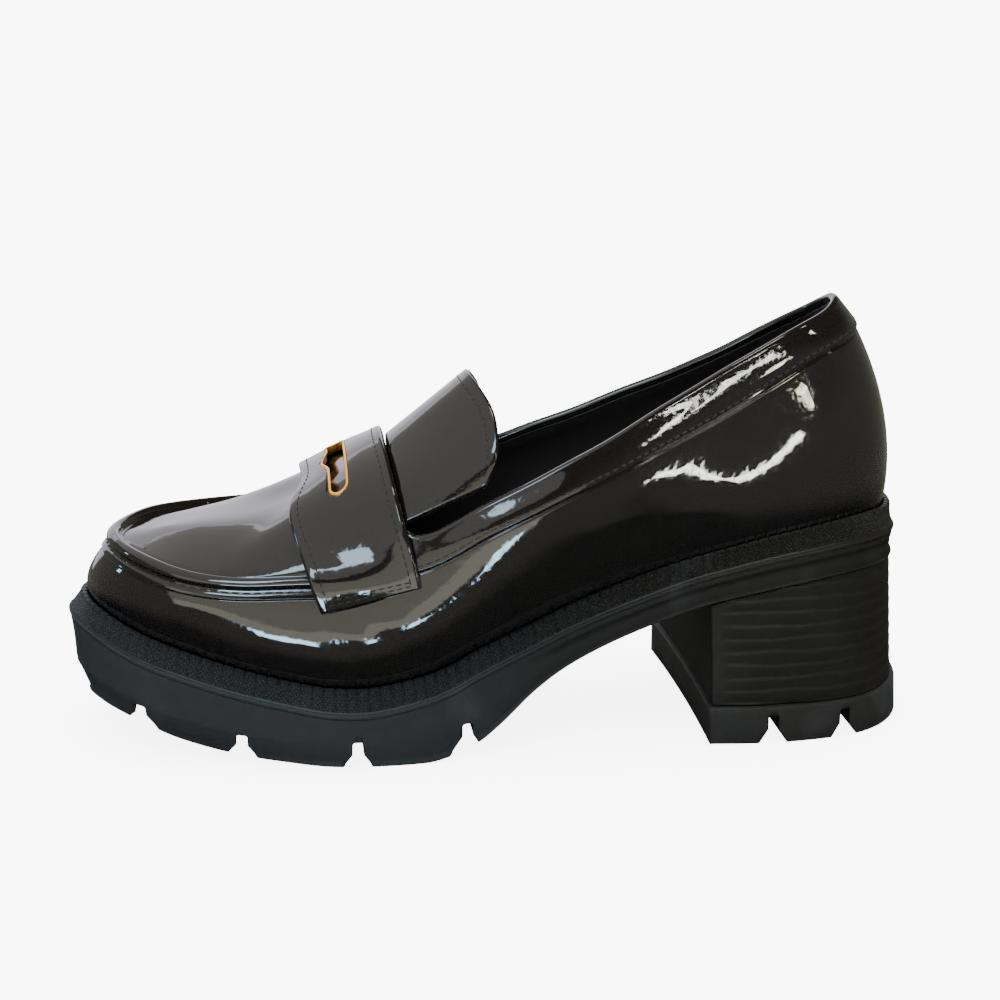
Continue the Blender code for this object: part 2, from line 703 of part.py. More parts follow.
def strap_sections():
    """Rows of (point, outward direction) across the strap, from its front to its back edge."""
    tree = skin_tree()
    numbered = [(row, *cells) for row, cells in enumerate(STRAP)]
    sections = []
    for index in range(STRAP_STEPS + 1):
        at = index * (len(STRAP) - 1) / STRAP_STEPS
        front_turn, back_turn, front, back, rise = (
            graph_value(numbered, ("row", *STRAP_COLUMNS), "row", name, at) for name in STRAP_COLUMNS)
        rows = []
        for share in STRAP_SHARES:
            turn = front_turn + (back_turn - front_turn) * share
            point, out = over_skin(tree, (front + (back - front) * share) * LENGTH, turn)
            rows.append((point + out * rise * STRAP_RISE * share, out))
        (before, _), (last, out) = rows[-2:]
        rows.append((last + (last - before) * STRAP_OVERHANG, out))
        sections.append(rows)
    for _ in range(STRAP_EVENING):
        sections = evened(sections)
    return sections


def evened(sections):
    """Strap whose hollows over the skin are evened out along its length: its points only move outwards."""
    axis = place(0, 0, STRAP_AXIS)
    made = [sections[0]]
    for before, here, after in zip(sections, sections[1:], sections[2:]):
        rows = []
        for (left, _), (point, out), (right, _) in zip(before, here, after):
            reach = Vector((0, *(point - axis).yz)).length
            mean = (Vector((0, *(left - axis).yz)).length + Vector((0, *(right - axis).yz)).length) / 2
            rows.append((point + out * max(0.0, mean - reach), out))
        made.append(rows)
    return made + [sections[-1]]


def strap_face(sections, height):
    return [[point + out * height for point, out in rows] for rows in sections]


def build_strap(collection, cutters, material):
    sections = strap_sections()
    builder = bmesh.new()
    upper_face = strap_face(sections, STRAP_LIFT + STRAP_THICKNESS)
    made = loft(builder, [high + low[::-1] for high, low in zip(upper_face, strap_face(sections, STRAP_LIFT))])
    for ring in (made[0], made[-1]):
        half = len(ring) // 2
        for index in range(half - 1):
            builder.faces.new((ring[index], ring[index + 1], ring[2 * half - 2 - index], ring[2 * half - 1 - index]))
    strap = new_object("saddle_strap", builder, collection, material)
    cut(strap, slot_cutter(cutters), "slot")
    return strap


def slot_outline(grow=0.0):
    """Slot in plan, round-ended across the strap, with a low peak in the middle of its front edge."""
    half, reach = SLOT_WIDTH / 2 + grow, SLOT_LENGTH / 2 - SLOT_WIDTH / 2
    centre = SLOT_PLACE * LENGTH
    points = []
    for side in (INNER, OUTER):
        for step in range(9):
            angle = math.pi * step / 8
            points.append((centre - side * half * math.cos(angle), side * (reach + half * math.sin(angle))))
        if side == INNER:
            points.append((centre + half, SLOT_PEAK_WIDTH / 2))
            points.append((centre + half + SLOT_PEAK, 0.0))
            points.append((centre + half, -SLOT_PEAK_WIDTH / 2))
    return points


def slot_cutter(collection):
    builder = bmesh.new()
    low, high = STRAP_AXIS, STRAP_AXIS + COLLAR_HEIGHT
    face = builder.faces.new([builder.verts.new(place(along, across, low)) for along, across in slot_outline()])
    moved = bmesh.ops.extrude_face_region(builder, geom=[face])
    verts = [item for item in moved["geom"] if isinstance(item, bmesh.types.BMVert)]
    bmesh.ops.translate(builder, verts=verts, vec=(0, 0, high - low))
    cutter = new_object("cut_slot", builder, collection)
    cutter.hide_render = True
    cutter.display_type = "WIRE"
    return cutter


def strap_top_tree():
    face = strap_face(strap_sections(), STRAP_LIFT + STRAP_THICKNESS)
    width = len(face[0])
    faces = [(start, start + 1, start + width + 1, start + width)
             for index in range(len(face) - 1) for start in range(index * width, index * width + width - 1)]
    return BVHTree.FromPolygons([point for row in face for point in row], faces)


def build_slot_frame(collection, material):
    """Thin metal rim lying in the slot, level with the face of the strap."""
    tree = strap_top_tree()
    radius = FRAME_WIRE / 2
    points = []
    for along, across in slot_outline(-radius - CLEARANCE):
        start = place(along, across, STRAP_AXIS + COLLAR_HEIGHT)
        hit = tree.ray_cast(start, Vector((0, 0, -1)))
        points.append(hit[0] - Vector((0, 0, radius / 2)))
    curve = bpy.data.curves.new("slot_frame_path", "CURVE")
    curve.dimensions = "3D"
    curve.bevel_depth = radius
    curve.bevel_resolution = 2
    spline = curve.splines.new("POLY")
    spline.points.add(len(points) - 1)
    for target, point in zip(spline.points, points):
        target.co = (*point, 1.0)
    spline.use_cyclic_u = True
    frame = bpy.data.objects.new("slot_frame", curve)
    collection.objects.link(frame)
    curve.materials.append(material)
    return frame


def build_tongue(collection, material):
    """Arched flap: rows from the throat back to its free edge, rounded at the lower corners."""
    builder = bmesh.new()

    def value(name, share):
        return graph_value(TONGUE, TONGUE_COLUMNS, "across", name, share)

    def point(kind, signed):
        share = abs(signed)
        return place(value(kind + "_along", share) * LENGTH,
                     math.copysign(value(kind + "_half", share), signed) * BALL_WIDTH / 2,
                     PLATFORM + value(kind + "_up", share) * COLLAR_HEIGHT)

    shares = [index / TONGUE_STEPS * 2 - 1 for index in range(TONGUE_STEPS + 1)]
    roots = [point("root", share) for share in shares]
    tips = [point("tip", share) for share in shares]
    outer = [[root.lerp(tip, step) for root, tip in zip(roots, tips)] for step in (0.0, 0.3, 0.65, 1.0)]
    skin = bmesh.new()
    rings = loft(skin, outer, closed=False)
    skin.normal_update()
    flip = 1 if rings[1][TONGUE_STEPS // 2].normal.z > 0 else -1
    inner = [[vert.co - vert.normal * flip * TONGUE_THICKNESS for vert in ring] for ring in rings]
    skin.free()
    loops = [outer_row + inner_row[::-1] for outer_row, inner_row in zip(outer, inner)]
    made = loft(builder, loops)
    for ring in (made[0], made[-1]):
        half = len(ring) // 2
        for index in range(half - 1):
            builder.faces.new((ring[index], ring[index + 1], ring[2 * half - 2 - index], ring[2 * half - 1 - index]))
    return new_object("tongue", builder, collection, material)


def build_insole(collection, material):
    builder = bmesh.new()
    base = CLEARANCE * 3 + WALL

    def inset(at):
        return seat_inset(at) + WALL + CLEARANCE * 5

    made = loft(builder, [
        sole_ring(lambda at: inset(at) + EDGE_ROUND, lambda along: seat_height(along) + base),
        sole_ring(inset, lambda along: seat_height(along) + base + EDGE_ROUND),
        sole_ring(inset, lambda along: seat_height(along) + base + INSOLE_THICKNESS - EDGE_ROUND),
        sole_ring(lambda at: inset(at) + EDGE_ROUND, lambda along: seat_height(along) + base + INSOLE_THICKNESS),
    ])
    ladder(builder, made[0])
    ladder(builder, made[-1])
    return new_object("insole", builder, collection, material)


def clear_scene():
    for item in list(bpy.data.objects):
        bpy.data.objects.remove(item, do_unlink=True)


def new_collection(name):
    collection = bpy.data.collections.new(name)
    bpy.context.scene.collection.children.link(collection)
    return collection


def main():
    clear_scene()
    parts, cutters = new_collection("loafer_pump"), new_collection("cutters")
    rubber = new_material("black_rubber", (0.018, 0.020, 0.023), 0.62)
    stacked = new_material("stacked_rubber", (0.022, 0.021, 0.020), 0.6)
    patent = new_material("black_patent", (0.006, 0.006, 0.006), 0.08)
    strap_patent = new_material("strap_patent", (0.006, 0.006, 0.006), 0.1)
    gold = new_material("gold_metal", (0.80, 0.42, 0.12), 0.25, 1.0)
    lining = new_material("lining", (0.012, 0.012, 0.013), 0.5)

    outsole = build_outsole(parts, rubber)
    for index, share in enumerate(TREAD_NOTCHES):
        name = f"cut_tread_notch_{index + 1}"
        cut(outsole, notch_cutter(name, share * LENGTH, tread_height(share), NOTCH_DEPTH, cutters), name)
    build_heel(parts, cutters, stacked)
    build_top_lift(parts, cutters, rubber)
    build_upper(parts, patent)
    build_strap(parts, cutters, strap_patent)
    build_slot_frame(parts, gold)
    build_tongue(parts, patent)
    build_insole(parts, lining)


main()
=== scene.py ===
"""Left loafer pump, dressed over its solids: patent upper with moc seam and collar band, slotted saddle strap,
tongue, lining, welted platform sole and stacked heel. Lengths are in metres. The toe points to -X, and the outer
side of the foot is at -Y."""

import math

import bmesh
import bpy
import numpy as np
from mathutils import Matrix, Vector
from mathutils.bvhtree import BVHTree


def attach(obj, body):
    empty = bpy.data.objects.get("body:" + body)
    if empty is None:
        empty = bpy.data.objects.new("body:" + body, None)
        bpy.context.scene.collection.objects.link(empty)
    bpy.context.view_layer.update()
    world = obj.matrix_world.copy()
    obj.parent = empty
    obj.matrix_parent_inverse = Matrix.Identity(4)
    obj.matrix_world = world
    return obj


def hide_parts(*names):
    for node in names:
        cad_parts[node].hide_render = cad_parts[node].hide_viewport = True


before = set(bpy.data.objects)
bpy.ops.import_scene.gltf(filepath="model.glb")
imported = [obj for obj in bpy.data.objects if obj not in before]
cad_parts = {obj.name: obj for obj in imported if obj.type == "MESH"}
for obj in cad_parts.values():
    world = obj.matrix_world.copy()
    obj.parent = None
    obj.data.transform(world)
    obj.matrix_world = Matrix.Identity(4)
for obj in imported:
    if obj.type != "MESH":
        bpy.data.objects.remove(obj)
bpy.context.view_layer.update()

MM = 0.001
MERGE = 0.004 * MM

# Overall sizes of the sole unit, measured at its bead line
LENGTH = 243.5 * MM
BALL_WIDTH = 88.0 * MM
PLATFORM = 16.2 * MM
SEAT_RISE = 42.6 * MM
SEAT_SIDE = 9.1 * MM
TOE_SPRING = 11.5 * MM
TOE_LIFT = 20.3 * MM
TUCK = 9.0 * MM

# Welt band: it slopes in from the bead line up to a flat rim, round a sunk seat for the upper
WELT_HEIGHT = 6.6 * MM
LEDGE = 4.3 * MM
RIM_WIDTH = 1.4 * MM
SEAT_DEPTH = 2.2 * MM
BEAD_SIZE = 0.9 * MM
EDGE_ROUND = 0.8 * MM

# Side of the sole: plain and upright down to a knee, then tucked in to the tread. Shares of its height and tuck
KNEE_HEIGHT = 0.42
KNEE_TUCK = 0.14

# Heel
BREAST = 62.2 * MM
BREAST_HOLLOW = 1.0 * MM
LIFT_THICKNESS = 11.0 * MM
LIFT_EDGE = 1.3 * MM
HEEL_FLARE = 1.6 * MM
HEEL_LEAN = 2.4 * MM
RIB_PITCH = 3.9 * MM
RIB_DEPTH = 0.8 * MM
RIB_BACK = 0.4

# Transverse notches between the lugs
NOTCH_WIDTH = 3.1 * MM
NOTCH_MOUTH = 7.0 * MM
NOTCH_DEPTH = 7.8 * MM
NOTCH_ROUND = 0.8 * MM
LIFT_NOTCH_DEPTH = 8.6 * MM
CUTTER_REACH = 2 * MM

# Upper
COLLAR_HEIGHT = 62.0 * MM
WALL = 1.8 * MM
MARGIN = 8.0 * MM
CLEARANCE = 0.3 * MM
SEAM_RISE = 2.1 * MM
FLANGE_STEP = 0.7 * MM
BAND_STEP = 0.8 * MM

# Strap, slot, tongue and footbed
STRAP_THICKNESS = 2.0 * MM
STRAP_RISE = 1.8 * MM
SLOT_LENGTH = 0.443 * BALL_WIDTH
SLOT_WIDTH = 5.5 * MM
SLOT_PEAK = 1.7 * MM
SLOT_PEAK_WIDTH = 0.41 * SLOT_LENGTH
TONGUE_THICKNESS = 1.7 * MM
INSOLE_THICKNESS = 3.0 * MM

HEEL_HEIGHT = PLATFORM + SEAT_RISE - SEAT_SIDE

# Plan of the sole unit at its bead line. along: share of LENGTH; half: share of half BALL_WIDTH; centre: shift
# to the inner side, share of BALL_WIDTH; tuck: how far the tread edge lies inside; ledge: width of the welt band
OUTLINE_COLUMNS = ("along", "half", "centre", "tuck", "ledge")
OUTLINE = (
    (0.000, 0.000, 0.000, 0.03, 0.51),
    (0.009, 0.307, 0.000, 0.03, 0.51),
    (0.035, 0.560, 0.008, 0.03, 0.56),
    (0.078, 0.735, 0.015, 0.03, 0.65),
    (0.139, 0.807, 0.017, 0.03, 0.74),
    (0.205, 0.810, 0.015, 0.03, 0.79),
    (0.279, 0.745, 0.003, 0.06, 0.79),
    (0.361, 0.689, -0.017, 0.09, 0.81),
    (0.443, 0.732, -0.023, 0.11, 0.88),
    (0.525, 0.848, -0.017, 0.11, 0.98),
    (0.607, 0.950, -0.003, 0.09, 1.00),
    (0.689, 1.000, 0.014, 0.22, 1.00),
    (0.770, 0.968, 0.024, 0.46, 0.98),
    (0.844, 0.850, 0.022, 0.72, 0.98),
    (0.906, 0.700, 0.017, 0.84, 0.98),
    (0.953, 0.505, 0.013, 0.84, 0.98),
    (0.986, 0.280, 0.011, 0.72, 0.98),
    (1.000, 0.000, 0.011, 0.50, 0.98),
)

# Side view of the sole unit. arch: underside behind the ball, share of HEEL_HEIGHT; spring: tread before the
# ball, share of TOE_SPRING; ramp and lift: bead line behind and before the ball, shares of SEAT_RISE and
# TOE_LIFT; welt: height of the rim over the bead line, share of WELT_HEIGHT
PROFILE_COLUMNS = ("along", "arch", "spring", "ramp", "lift", "welt")
PROFILE = (
    (0.000, 0.986, 0.000, 0.984, 0.000, 0.98),
    (0.057, 0.996, 0.000, 1.000, 0.000, 1.00),
    (0.156, 0.940, 0.000, 0.935, 0.000, 0.88),
    (0.254, 0.829, 0.000, 0.800, 0.000, 0.80),
    (0.352, 0.644, 0.000, 0.599, 0.000, 0.88),
    (0.422, 0.483, 0.000, 0.450, 0.000, 0.88),
    (0.459, 0.362, 0.000, 0.361, 0.000, 0.88),
    (0.504, 0.171, 0.000, 0.263, 0.000, 0.88),
    (0.529, 0.085, 0.000, 0.203, 0.000, 0.91),
    (0.561, 0.024, 0.000, 0.116, 0.000, 0.90),
    (0.590, 0.000, 0.000, 0.064, 0.000, 0.88),
    (0.664, 0.000, 0.000, 0.000, 0.000, 0.90),
    (0.689, 0.000, 0.000, 0.000, 0.011, 0.90),
    (0.754, 0.000, 0.080, 0.000, 0.157, 0.88),
    (0.820, 0.000, 0.175, 0.000, 0.328, 0.92),
    (0.869, 0.000, 0.330, 0.000, 0.478, 0.94),
    (0.906, 0.000, 0.520, 0.000, 0.599, 0.96),
    (0.939, 0.000, 0.690, 0.000, 0.734, 0.97),
    (0.967, 0.000, 0.815, 0.000, 0.872, 0.94),
    (1.000, 0.000, 0.900, 0.000, 1.000, 0.91),
)

# Sections of the upper, one for each row of OUTLINE. seam: the moc seam round the apron, which runs on as the
# lower edge of the collar band; edge: topline and throat, and the crest of the apron before them. along: share
# of LENGTH; half: share of half BALL_WIDTH; outer and inner: height over the seat, share of COLLAR_HEIGHT.
# The leans are degrees from upright, outwards at the foot, inwards below and above the seam
UPPER_COLUMNS = (
    "seam_along", "seam_half", "seam_outer", "seam_inner",
    "edge_along", "edge_half", "edge_outer", "edge_inner",
    "foot_lean", "seam_lean", "top_lean",
)
UPPER = (
    (0.061, 0.000, 0.871, 0.871, 0.086, 0.000, 0.989, 0.989, 8, 30, 35),
    (0.067, 0.170, 0.855, 0.835, 0.091, 0.136, 0.972, 0.953, 8, 29, 32),
    (0.084, 0.314, 0.814, 0.780, 0.111, 0.261, 0.921, 0.876, 9, 26, 28),
    (0.119, 0.414, 0.760, 0.705, 0.148, 0.364, 0.865, 0.783, 10, 22, 24),
    (0.172, 0.500, 0.692, 0.632, 0.197, 0.443, 0.813, 0.706, 11, 18, 22),
    (0.234, 0.580, 0.623, 0.565, 0.254, 0.511, 0.760, 0.652, 14, 15, 20),
    (0.299, 0.643, 0.590, 0.549, 0.316, 0.568, 0.721, 0.640, 19, 14, 20),
    (0.373, 0.700, 0.570, 0.556, 0.381, 0.614, 0.695, 0.648, 26, 14, 20),
    (0.447, 0.745, 0.569, 0.584, 0.451, 0.652, 0.686, 0.673, 33, 15, 20),
    (0.520, 0.773, 0.562, 0.599, 0.525, 0.682, 0.674, 0.687, 36, 17, 22),
    (0.598, 0.784, 0.527, 0.610, 0.602, 0.686, 0.658, 0.707, 36, 20, 26),
    (0.669, 0.773, 0.513, 0.594, 0.620, 0.477, 0.871, 0.888, 36, 24, 34),
    (0.731, 0.757, 0.449, 0.534, 0.626, 0.000, 0.926, 0.926, 34, 29, 42),
    (0.793, 0.716, 0.369, 0.453, 0.688, 0.000, 0.736, 0.736, 30, 35, 56),
    (0.846, 0.641, 0.315, 0.386, 0.745, 0.000, 0.529, 0.529, 26, 40, 70),
    (0.891, 0.511, 0.284, 0.328, 0.805, 0.000, 0.402, 0.402, 22, 43, 80),
    (0.926, 0.295, 0.269, 0.285, 0.854, 0.000, 0.335, 0.335, 18, 45, 86),
    (0.943, 0.000, 0.270, 0.270, 0.883, 0.000, 0.303, 0.303, 16, 45, 88),
)
CREST_ROW = 12          # from this section on, both sides meet along the crest of the apron
BAND_END = 10.2         # the raised band ends here, and the moc seam has its full form from MOC_START on
MOC_START = 11.2
UPPER_CENTRE = 0.8      # share of the sole's inward swing that the seam and the crest follow
FOOT_PULL, SEAM_PULL, TOP_PULL, CREST_PULL = 0.36, 0.34, 0.40, 0.44

# Strap: from the outer to the inner side over the foot. front and back: place of its two edges, shares of
# LENGTH, each with its angle from upright in degrees; rise: how far its back edge stands off, share of STRAP_RISE
STRAP_COLUMNS = ("front_turn", "back_turn", "front", "back", "rise")
STRAP = (
    (-92.5, -83.0, 0.703, 0.598, 0.0),
    (-70.0, -66.0, 0.722, 0.606, 0.1),
    (-38.0, -38.0, 0.733, 0.620, 0.6),
    (0.0, 0.0, 0.713, 0.628, 1.0),
    (38.0, 38.0, 0.717, 0.620, 0.6),
    (70.0, 66.0, 0.713, 0.606, 0.1),
    (92.5, 83.0, 0.703, 0.598, 0.0),
)
STRAP_SHARES = (0.0, 0.3, 0.6, 0.85)
STRAP_OVERHANG = 0.6
STRAP_AXIS = 46.0 * MM
STRAP_LIFT = 1.1 * MM
SLOT_PLACE = 0.682

# Tongue: from its crest out to its side. across: share of half its width; root and tip: its throat and its rear
# edge, each with its place (share of LENGTH), half width (share of half BALL_WIDTH) and height over PLATFORM
# (share of COLLAR_HEIGHT)
TONGUE_COLUMNS = ("across", "root_along", "root_half", "root_up", "tip_along", "tip_half", "tip_up")
TONGUE = (
    (0.00, 0.621, 0.000, 1.105, 0.530, 0.000, 1.400),
    (0.10, 0.621, 0.070, 1.104, 0.529, 0.080, 1.398),
    (0.35, 0.619, 0.235, 1.060, 0.517, 0.270, 1.340),
    (0.62, 0.615, 0.440, 0.975, 0.506, 0.440, 1.245),
    (0.84, 0.611, 0.570, 0.890, 0.505, 0.585, 1.115),
    (1.00, 0.608, 0.640, 0.820, 0.522, 0.655, 0.965),
)

# Places of the notches, as shares of LENGTH
TREAD_NOTCHES = (0.915, 0.799, 0.668, 0.541)
LIFT_NOTCHES = (0.176, 0.085)
ORIGIN_ALONG = sum(LIFT_NOTCHES) / len(LIFT_NOTCHES) * LENGTH

OUTER, INNER = -1, 1

# Counts of fine columns and rows
STRAP_STEPS = 35
STRAP_EVENING = 4
STRAP_SOFTENING = 3
STRAP_FINE = 140
STRAP_ACROSS = 28
OUTSOLE_STEPS = 12
WELT_STEPS = 40
TREAD_ROWS = 4
HEEL_COLUMNS = 60
BREAST_COLUMNS = 16
HEEL_ROWS = 150
RIB_SHOWN = 0.6
TONGUE_FINE = 64
TONGUE_ROWS = 20
TONGUE_EVENING = 6
EDGE_TURNS = 8

# Fine rows by the knee of the sole's side: share of the knee's tuck, and share of the side's height
KNEE_ROWS = ((1.15, KNEE_HEIGHT * 0.94), (0.9, KNEE_HEIGHT * 1.06), (0.4, (1 + KNEE_HEIGHT) / 2))

# Two beads on the side of the sole: inset and depth under the bead line, in millimetres
SIDE_BEADS = ((0.75, 3.6), (0.55, 2.6), (0.5, 1.75), (0.52, 1.55), (0.8, 1.42), (0.8, 1.3), (0.45, 1.2),
              (0.22, 1.02), (0.12, 0.7), (0.12, 0.35), (0.3, 0.1), (0.8, -0.05))

# Nicks in the rim of the welt: columns of one pitch, each with its place in the pitch and whether it is sunk
NICK_PITCH = 3.2 * MM
NICK_DEPTH = 0.9
NICK_COLUMNS = ((0.0, 0), (0.22, 0), (0.40, 0), (0.44, 1), (0.57, 1), (0.61, 0), (0.80, 0))

# Welt band, round its section from the bead line over the rim: inset in millimetres, shares of the ledge and of
# the rim, share of the band's height, rise in millimetres and share of a nick's depth
WELT = (
    (0.90, 0.00, 0.00, 0.00, -0.60, 0.0),
    (0.75, 0.00, 0.00, 0.00, 0.25, 0.0),
    (0.95, 0.00, 0.00, 0.00, 0.60, 0.0),
    (0.60, 0.33, 0.00, 0.33, 0.40, 0.0),
    (0.30, 0.66, 0.00, 0.66, 0.20, 0.0),
    (-0.55, 1.00, 0.00, 1.00, -1.05, 0.0),
    (-0.45, 1.00, 0.00, 1.00, -0.75, 0.6),
    (-0.50, 1.00, 0.00, 1.00, -0.45, 1.0),
    (-0.30, 1.00, 0.00, 1.00, -0.12, 1.0),
    (0.05, 1.00, 0.00, 1.00, 0.00, 1.0),
    (0.00, 1.00, 0.35, 1.00, 0.05, 1.0),
    (0.00, 1.00, 0.70, 1.00, 0.05, 1.0),
    (-0.20, 1.00, 1.00, 1.00, 0.00, 0.6),
    (0.00, 1.00, 1.00, 1.00, -0.30, 0.0),
    (0.00, 1.00, 1.00, 1.00, -2.30, 0.0),
    (0.90, 0.00, 0.00, 0.00, -0.60, 0.0),
)

# Knurl of the welt: turns of its waves for a unit of the unrolled band, its relief, and where across the band it
# starts and ends. Across, the unrolled band grows by these amounts for a millimetre of inset, the ledge and the
# rim
KNURL = 38.0
KNURL_RELIEF = 0.6 * MM
KNURL_SPAN = (0.1, 0.42)
UNROLLED_UNIT = 10 * MM
UNROLLED_INSET, UNROLLED_LEDGE, UNROLLED_RIM = 0.1, 0.43, 0.14
UNROLLED_CELL = 0.02

# Side of the top lift: height and outset in millimetres
LIFT_SIDE = ((0.0, -0.5), (0.12, -0.15), (0.4, 0.0), (4.0, 0.0), (8.0, 0.0), (10.3, 0.0), (10.75, -0.12),
             (11.0, -0.45))

# Layers of the heel: how far they wander, in two waves, and how near the breast, in rows of OUTLINE, they end and
# are full; then where the even columns stop by the breast, and the columns that turn its corner
LAYER_WAVES = (0.25 * MM, 0.15 * MM)
LAYERS_END, LAYERS_FULL = 0.13, 0.3
CORNER_START = 0.16
CORNER_COLUMNS = (0.14, 0.12, 0.02, 0.0)

# Lining: how far its back and its face lie inside the upper's wall
LINING_BACK, LINING_FACE = 0.25 * MM, 0.5 * MM

# Seat of the sole unit: how far its wall lies further out than the upper's seat, how far its floor lies lower,
# and how far under the rim its wall starts
SEAT_EASE = 0.1 * MM
SEAT_SINK = 0.2 * MM
RIM_TUCK = 1.5 * MM

# Metal rim of the slot, in millimetres: half thickness, depth and neck of its wall, its inset from the slot, and
# the radius and place of the bead on top
RIM_WALL, RIM_DEPTH, RIM_NECK, RIM_INSET = 0.2, 2.4, 0.3, 0.35
RIM_BEAD, RIM_BEAD_OUT, RIM_BEAD_UP = 0.34, 0.02, 0.05
RIM_BEAD_STEPS = 6

# Footbed sock, from the middle of its back over its edge to the middle of its face: inset in millimetres, share
# of the way to the middle, share of the thickness and rise in millimetres
SOCK_STEPS = 8
SOCK = (
    (0.0, 1.0, 0, 0.0), (0.0, 0.5, 0, 0.0), (0.8, 0.0, 0, 0.0), (0.2, 0.0, 0, 0.25), (0.0, 0.0, 0, 0.8),
    (0.0, 0.0, 1, -0.8), (0.2, 0.0, 1, -0.25), (0.8, 0.0, 1, 0.0), (1.5, 0.15, 1, 0.1), (1.5, 0.4, 1, 0.1),
    (1.5, 0.7, 1, 0.0), (1.5, 1.0, 1, 0.0),
)

# Stitches: pitch, length and thickness in millimetres
MOC_THREAD = (3.0, 2.2, 0.55)
BAND_THREAD = (2.5, 1.9, 0.45)
STRAP_THREAD = (2.4, 1.8, 0.45)

# Places of the stitches, in millimetres from the strap's front, rear and ends, and from the tongue's edges. The
# rows at the strap's ends start and run over shares of its width, and the tongue's over shares of its length
STRAP_FRONT_GAP, STRAP_REAR_GAP = 1.6, 3.0
STRAP_END_GAPS = (2.3, 4.1)
STRAP_END_START, STRAP_END_RUN, STRAP_END_STEPS = 0.05, 0.86, 20
TONGUE_GAP = 2.5
TONGUE_SIDE_SHARES = (0.25, 0.4, 0.55, 0.7, 0.8)

# Camera: angles round, above and of roll in degrees; distance and target in millimetres; focal length and aim in
# pixels of the picture
PICTURE = 1000
SENSOR = 36
CAMERA_ANGLES = (-7.3, 18.0, 0.55)
CAMERA_DISTANCE = 502.5
CAMERA_FOCUS = 1700.0
CAMERA_AIM = (480.0, 547.0)
CAMERA_TARGET = (-92.22, 0.0, 50.0)

# Light panels: name, azimuth, elevation, width and height in degrees, radiance, colour and turn. PANELS stand
# far round the whole shoe, and the strip stands near, beside its counter. FAR and NEAR: what they look at, and
# how far off they stand
FAR = (Vector((-90, 0, 50)) * MM, 2.0)
NEAR = (Vector((-12, -28, 82)) * MM, 0.07)
PANELS = (
    ("cool_window", -16, 2.5, 17, 5, 22, (0.50, 0.78, 1.0), 0),
    ("cool_corner", 2, 4, 5, 5, 22, (0.50, 0.78, 1.0), 0),
    ("beige_wall", -20, 19, 52, 27, 0.9, (1.0, 0.95, 0.80), 0),
    ("beige_band", -20, 9, 52, 8, 0.8, (1.0, 0.95, 0.80), 0),
    ("band_light", 17.3, 34.8, 1.8, 2.4, 30, (1.0, 1.0, 0.92), 0),
    ("topline_strip", 22.8, 35.0, 5.8, 0.9, 30, (1.0, 1.0, 0.92), 30),
    ("rear_band_light", 27.4, 29.3, 1.8, 3.8, 26, (1.0, 1.0, 0.75), 0),
    ("rear_spot", 44.8, 48.0, 2.2, 2.2, 26, (1.0, 1.0, 0.8), 0),
    ("cool_skylight", -26, 52, 8, 18, 9, (0.60, 0.82, 1.0), 0),
    ("toe_window", -103, 22, 5, 6, 16, (0.45, 0.72, 1.0), 0),
    ("back_wall", 187, 16, 70, 40, 1.2, (0.90, 0.86, 1.0), 0),
    ("overhead_left", -95, 62, 100, 48, 0.62, (0.99, 1.0, 0.98), 0),
    ("ceiling_lamp", 10, 80, 8, 8, 12, (1.0, 0.97, 0.9), 0),
)
COUNTER_STRIP = ("counter_strip", 15.6, 13.0, 2.6, 38, 34, (1.0, 1.0, 0.9), -38)
SUN = 9.0
SUN_SPREAD = 70

# Floor sheet, in metres: half its width, its near edge, its flat run and the radius of its sweep; then how many
# rows it has and the share of them in its flat run
SHEET_HALF, SHEET_EDGE, SHEET_RUN, SHEET_SWEEP = 16, -10, 11, 12
SHEET_ROWS, SHEET_FLAT_ROWS = 60, 0.3
SHEET_COLOUR = (0.95, 0.95, 0.95)
SHEET_GLOW, CAMERA_GLOW = 1.0, 5.0
WHITE = (1.0, 1.0, 1.0, 1.0)
BACKDROP = 8.0

# Room that the gloss mirrors: height of the look, from 0 underfoot to 1 overhead, and colour
SKY = (
    (0.0, (0.0, 0.0, 0.0)),
    (0.28, (0.0, 0.0, 0.0)),
    (0.40, (0.18, 0.18, 0.14)),
    (0.70, (0.22, 0.22, 0.18)),
    (0.83, (0.07, 0.045, 0.02)),
    (1.0, (0.12, 0.08, 0.05)),
)

# Relief of the patent's ripple
PATENT_RELIEF = 0.05 * MM

# Rubber: where in its noise the rubbed patches start and are full, relief of its grain and its share on the
# knurl, and where along X its colour turns from that of the forefoot, tinted with painted cool light, to that of
# the heel
RUBBED_FROM, RUBBED_FULL = 0.5, 0.75
GRAIN_RELIEF = 0.06 * MM
GRAIN_ON_KNURL = 0.2
FOREFOOT_END, HEEL_START = -0.13, -0.03

# Base colours
PATENT_BLACK = (0.004, 0.004, 0.004)
# The forefoot colour of the sole and welt is bluish with painted cool side light
SOLE_COOL_LIGHT, SOLE_WARM, SOLE_DUST = (0.0105, 0.0140, 0.0180), (0.0070, 0.0068, 0.0048), (0.0160, 0.0185, 0.0210)
HEEL_WARM, HEEL_DUST = (0.0060, 0.0058, 0.0040), (0.0080, 0.0078, 0.0060)
LIFT_COLOUR = (0.0095, 0.0100, 0.0085)
ORANGE_GOLD = (0.90, 0.46, 0.08)
LINING_BLACK = (0.010, 0.010, 0.011)
THREAD_BLACK = (0.012, 0.012, 0.012)


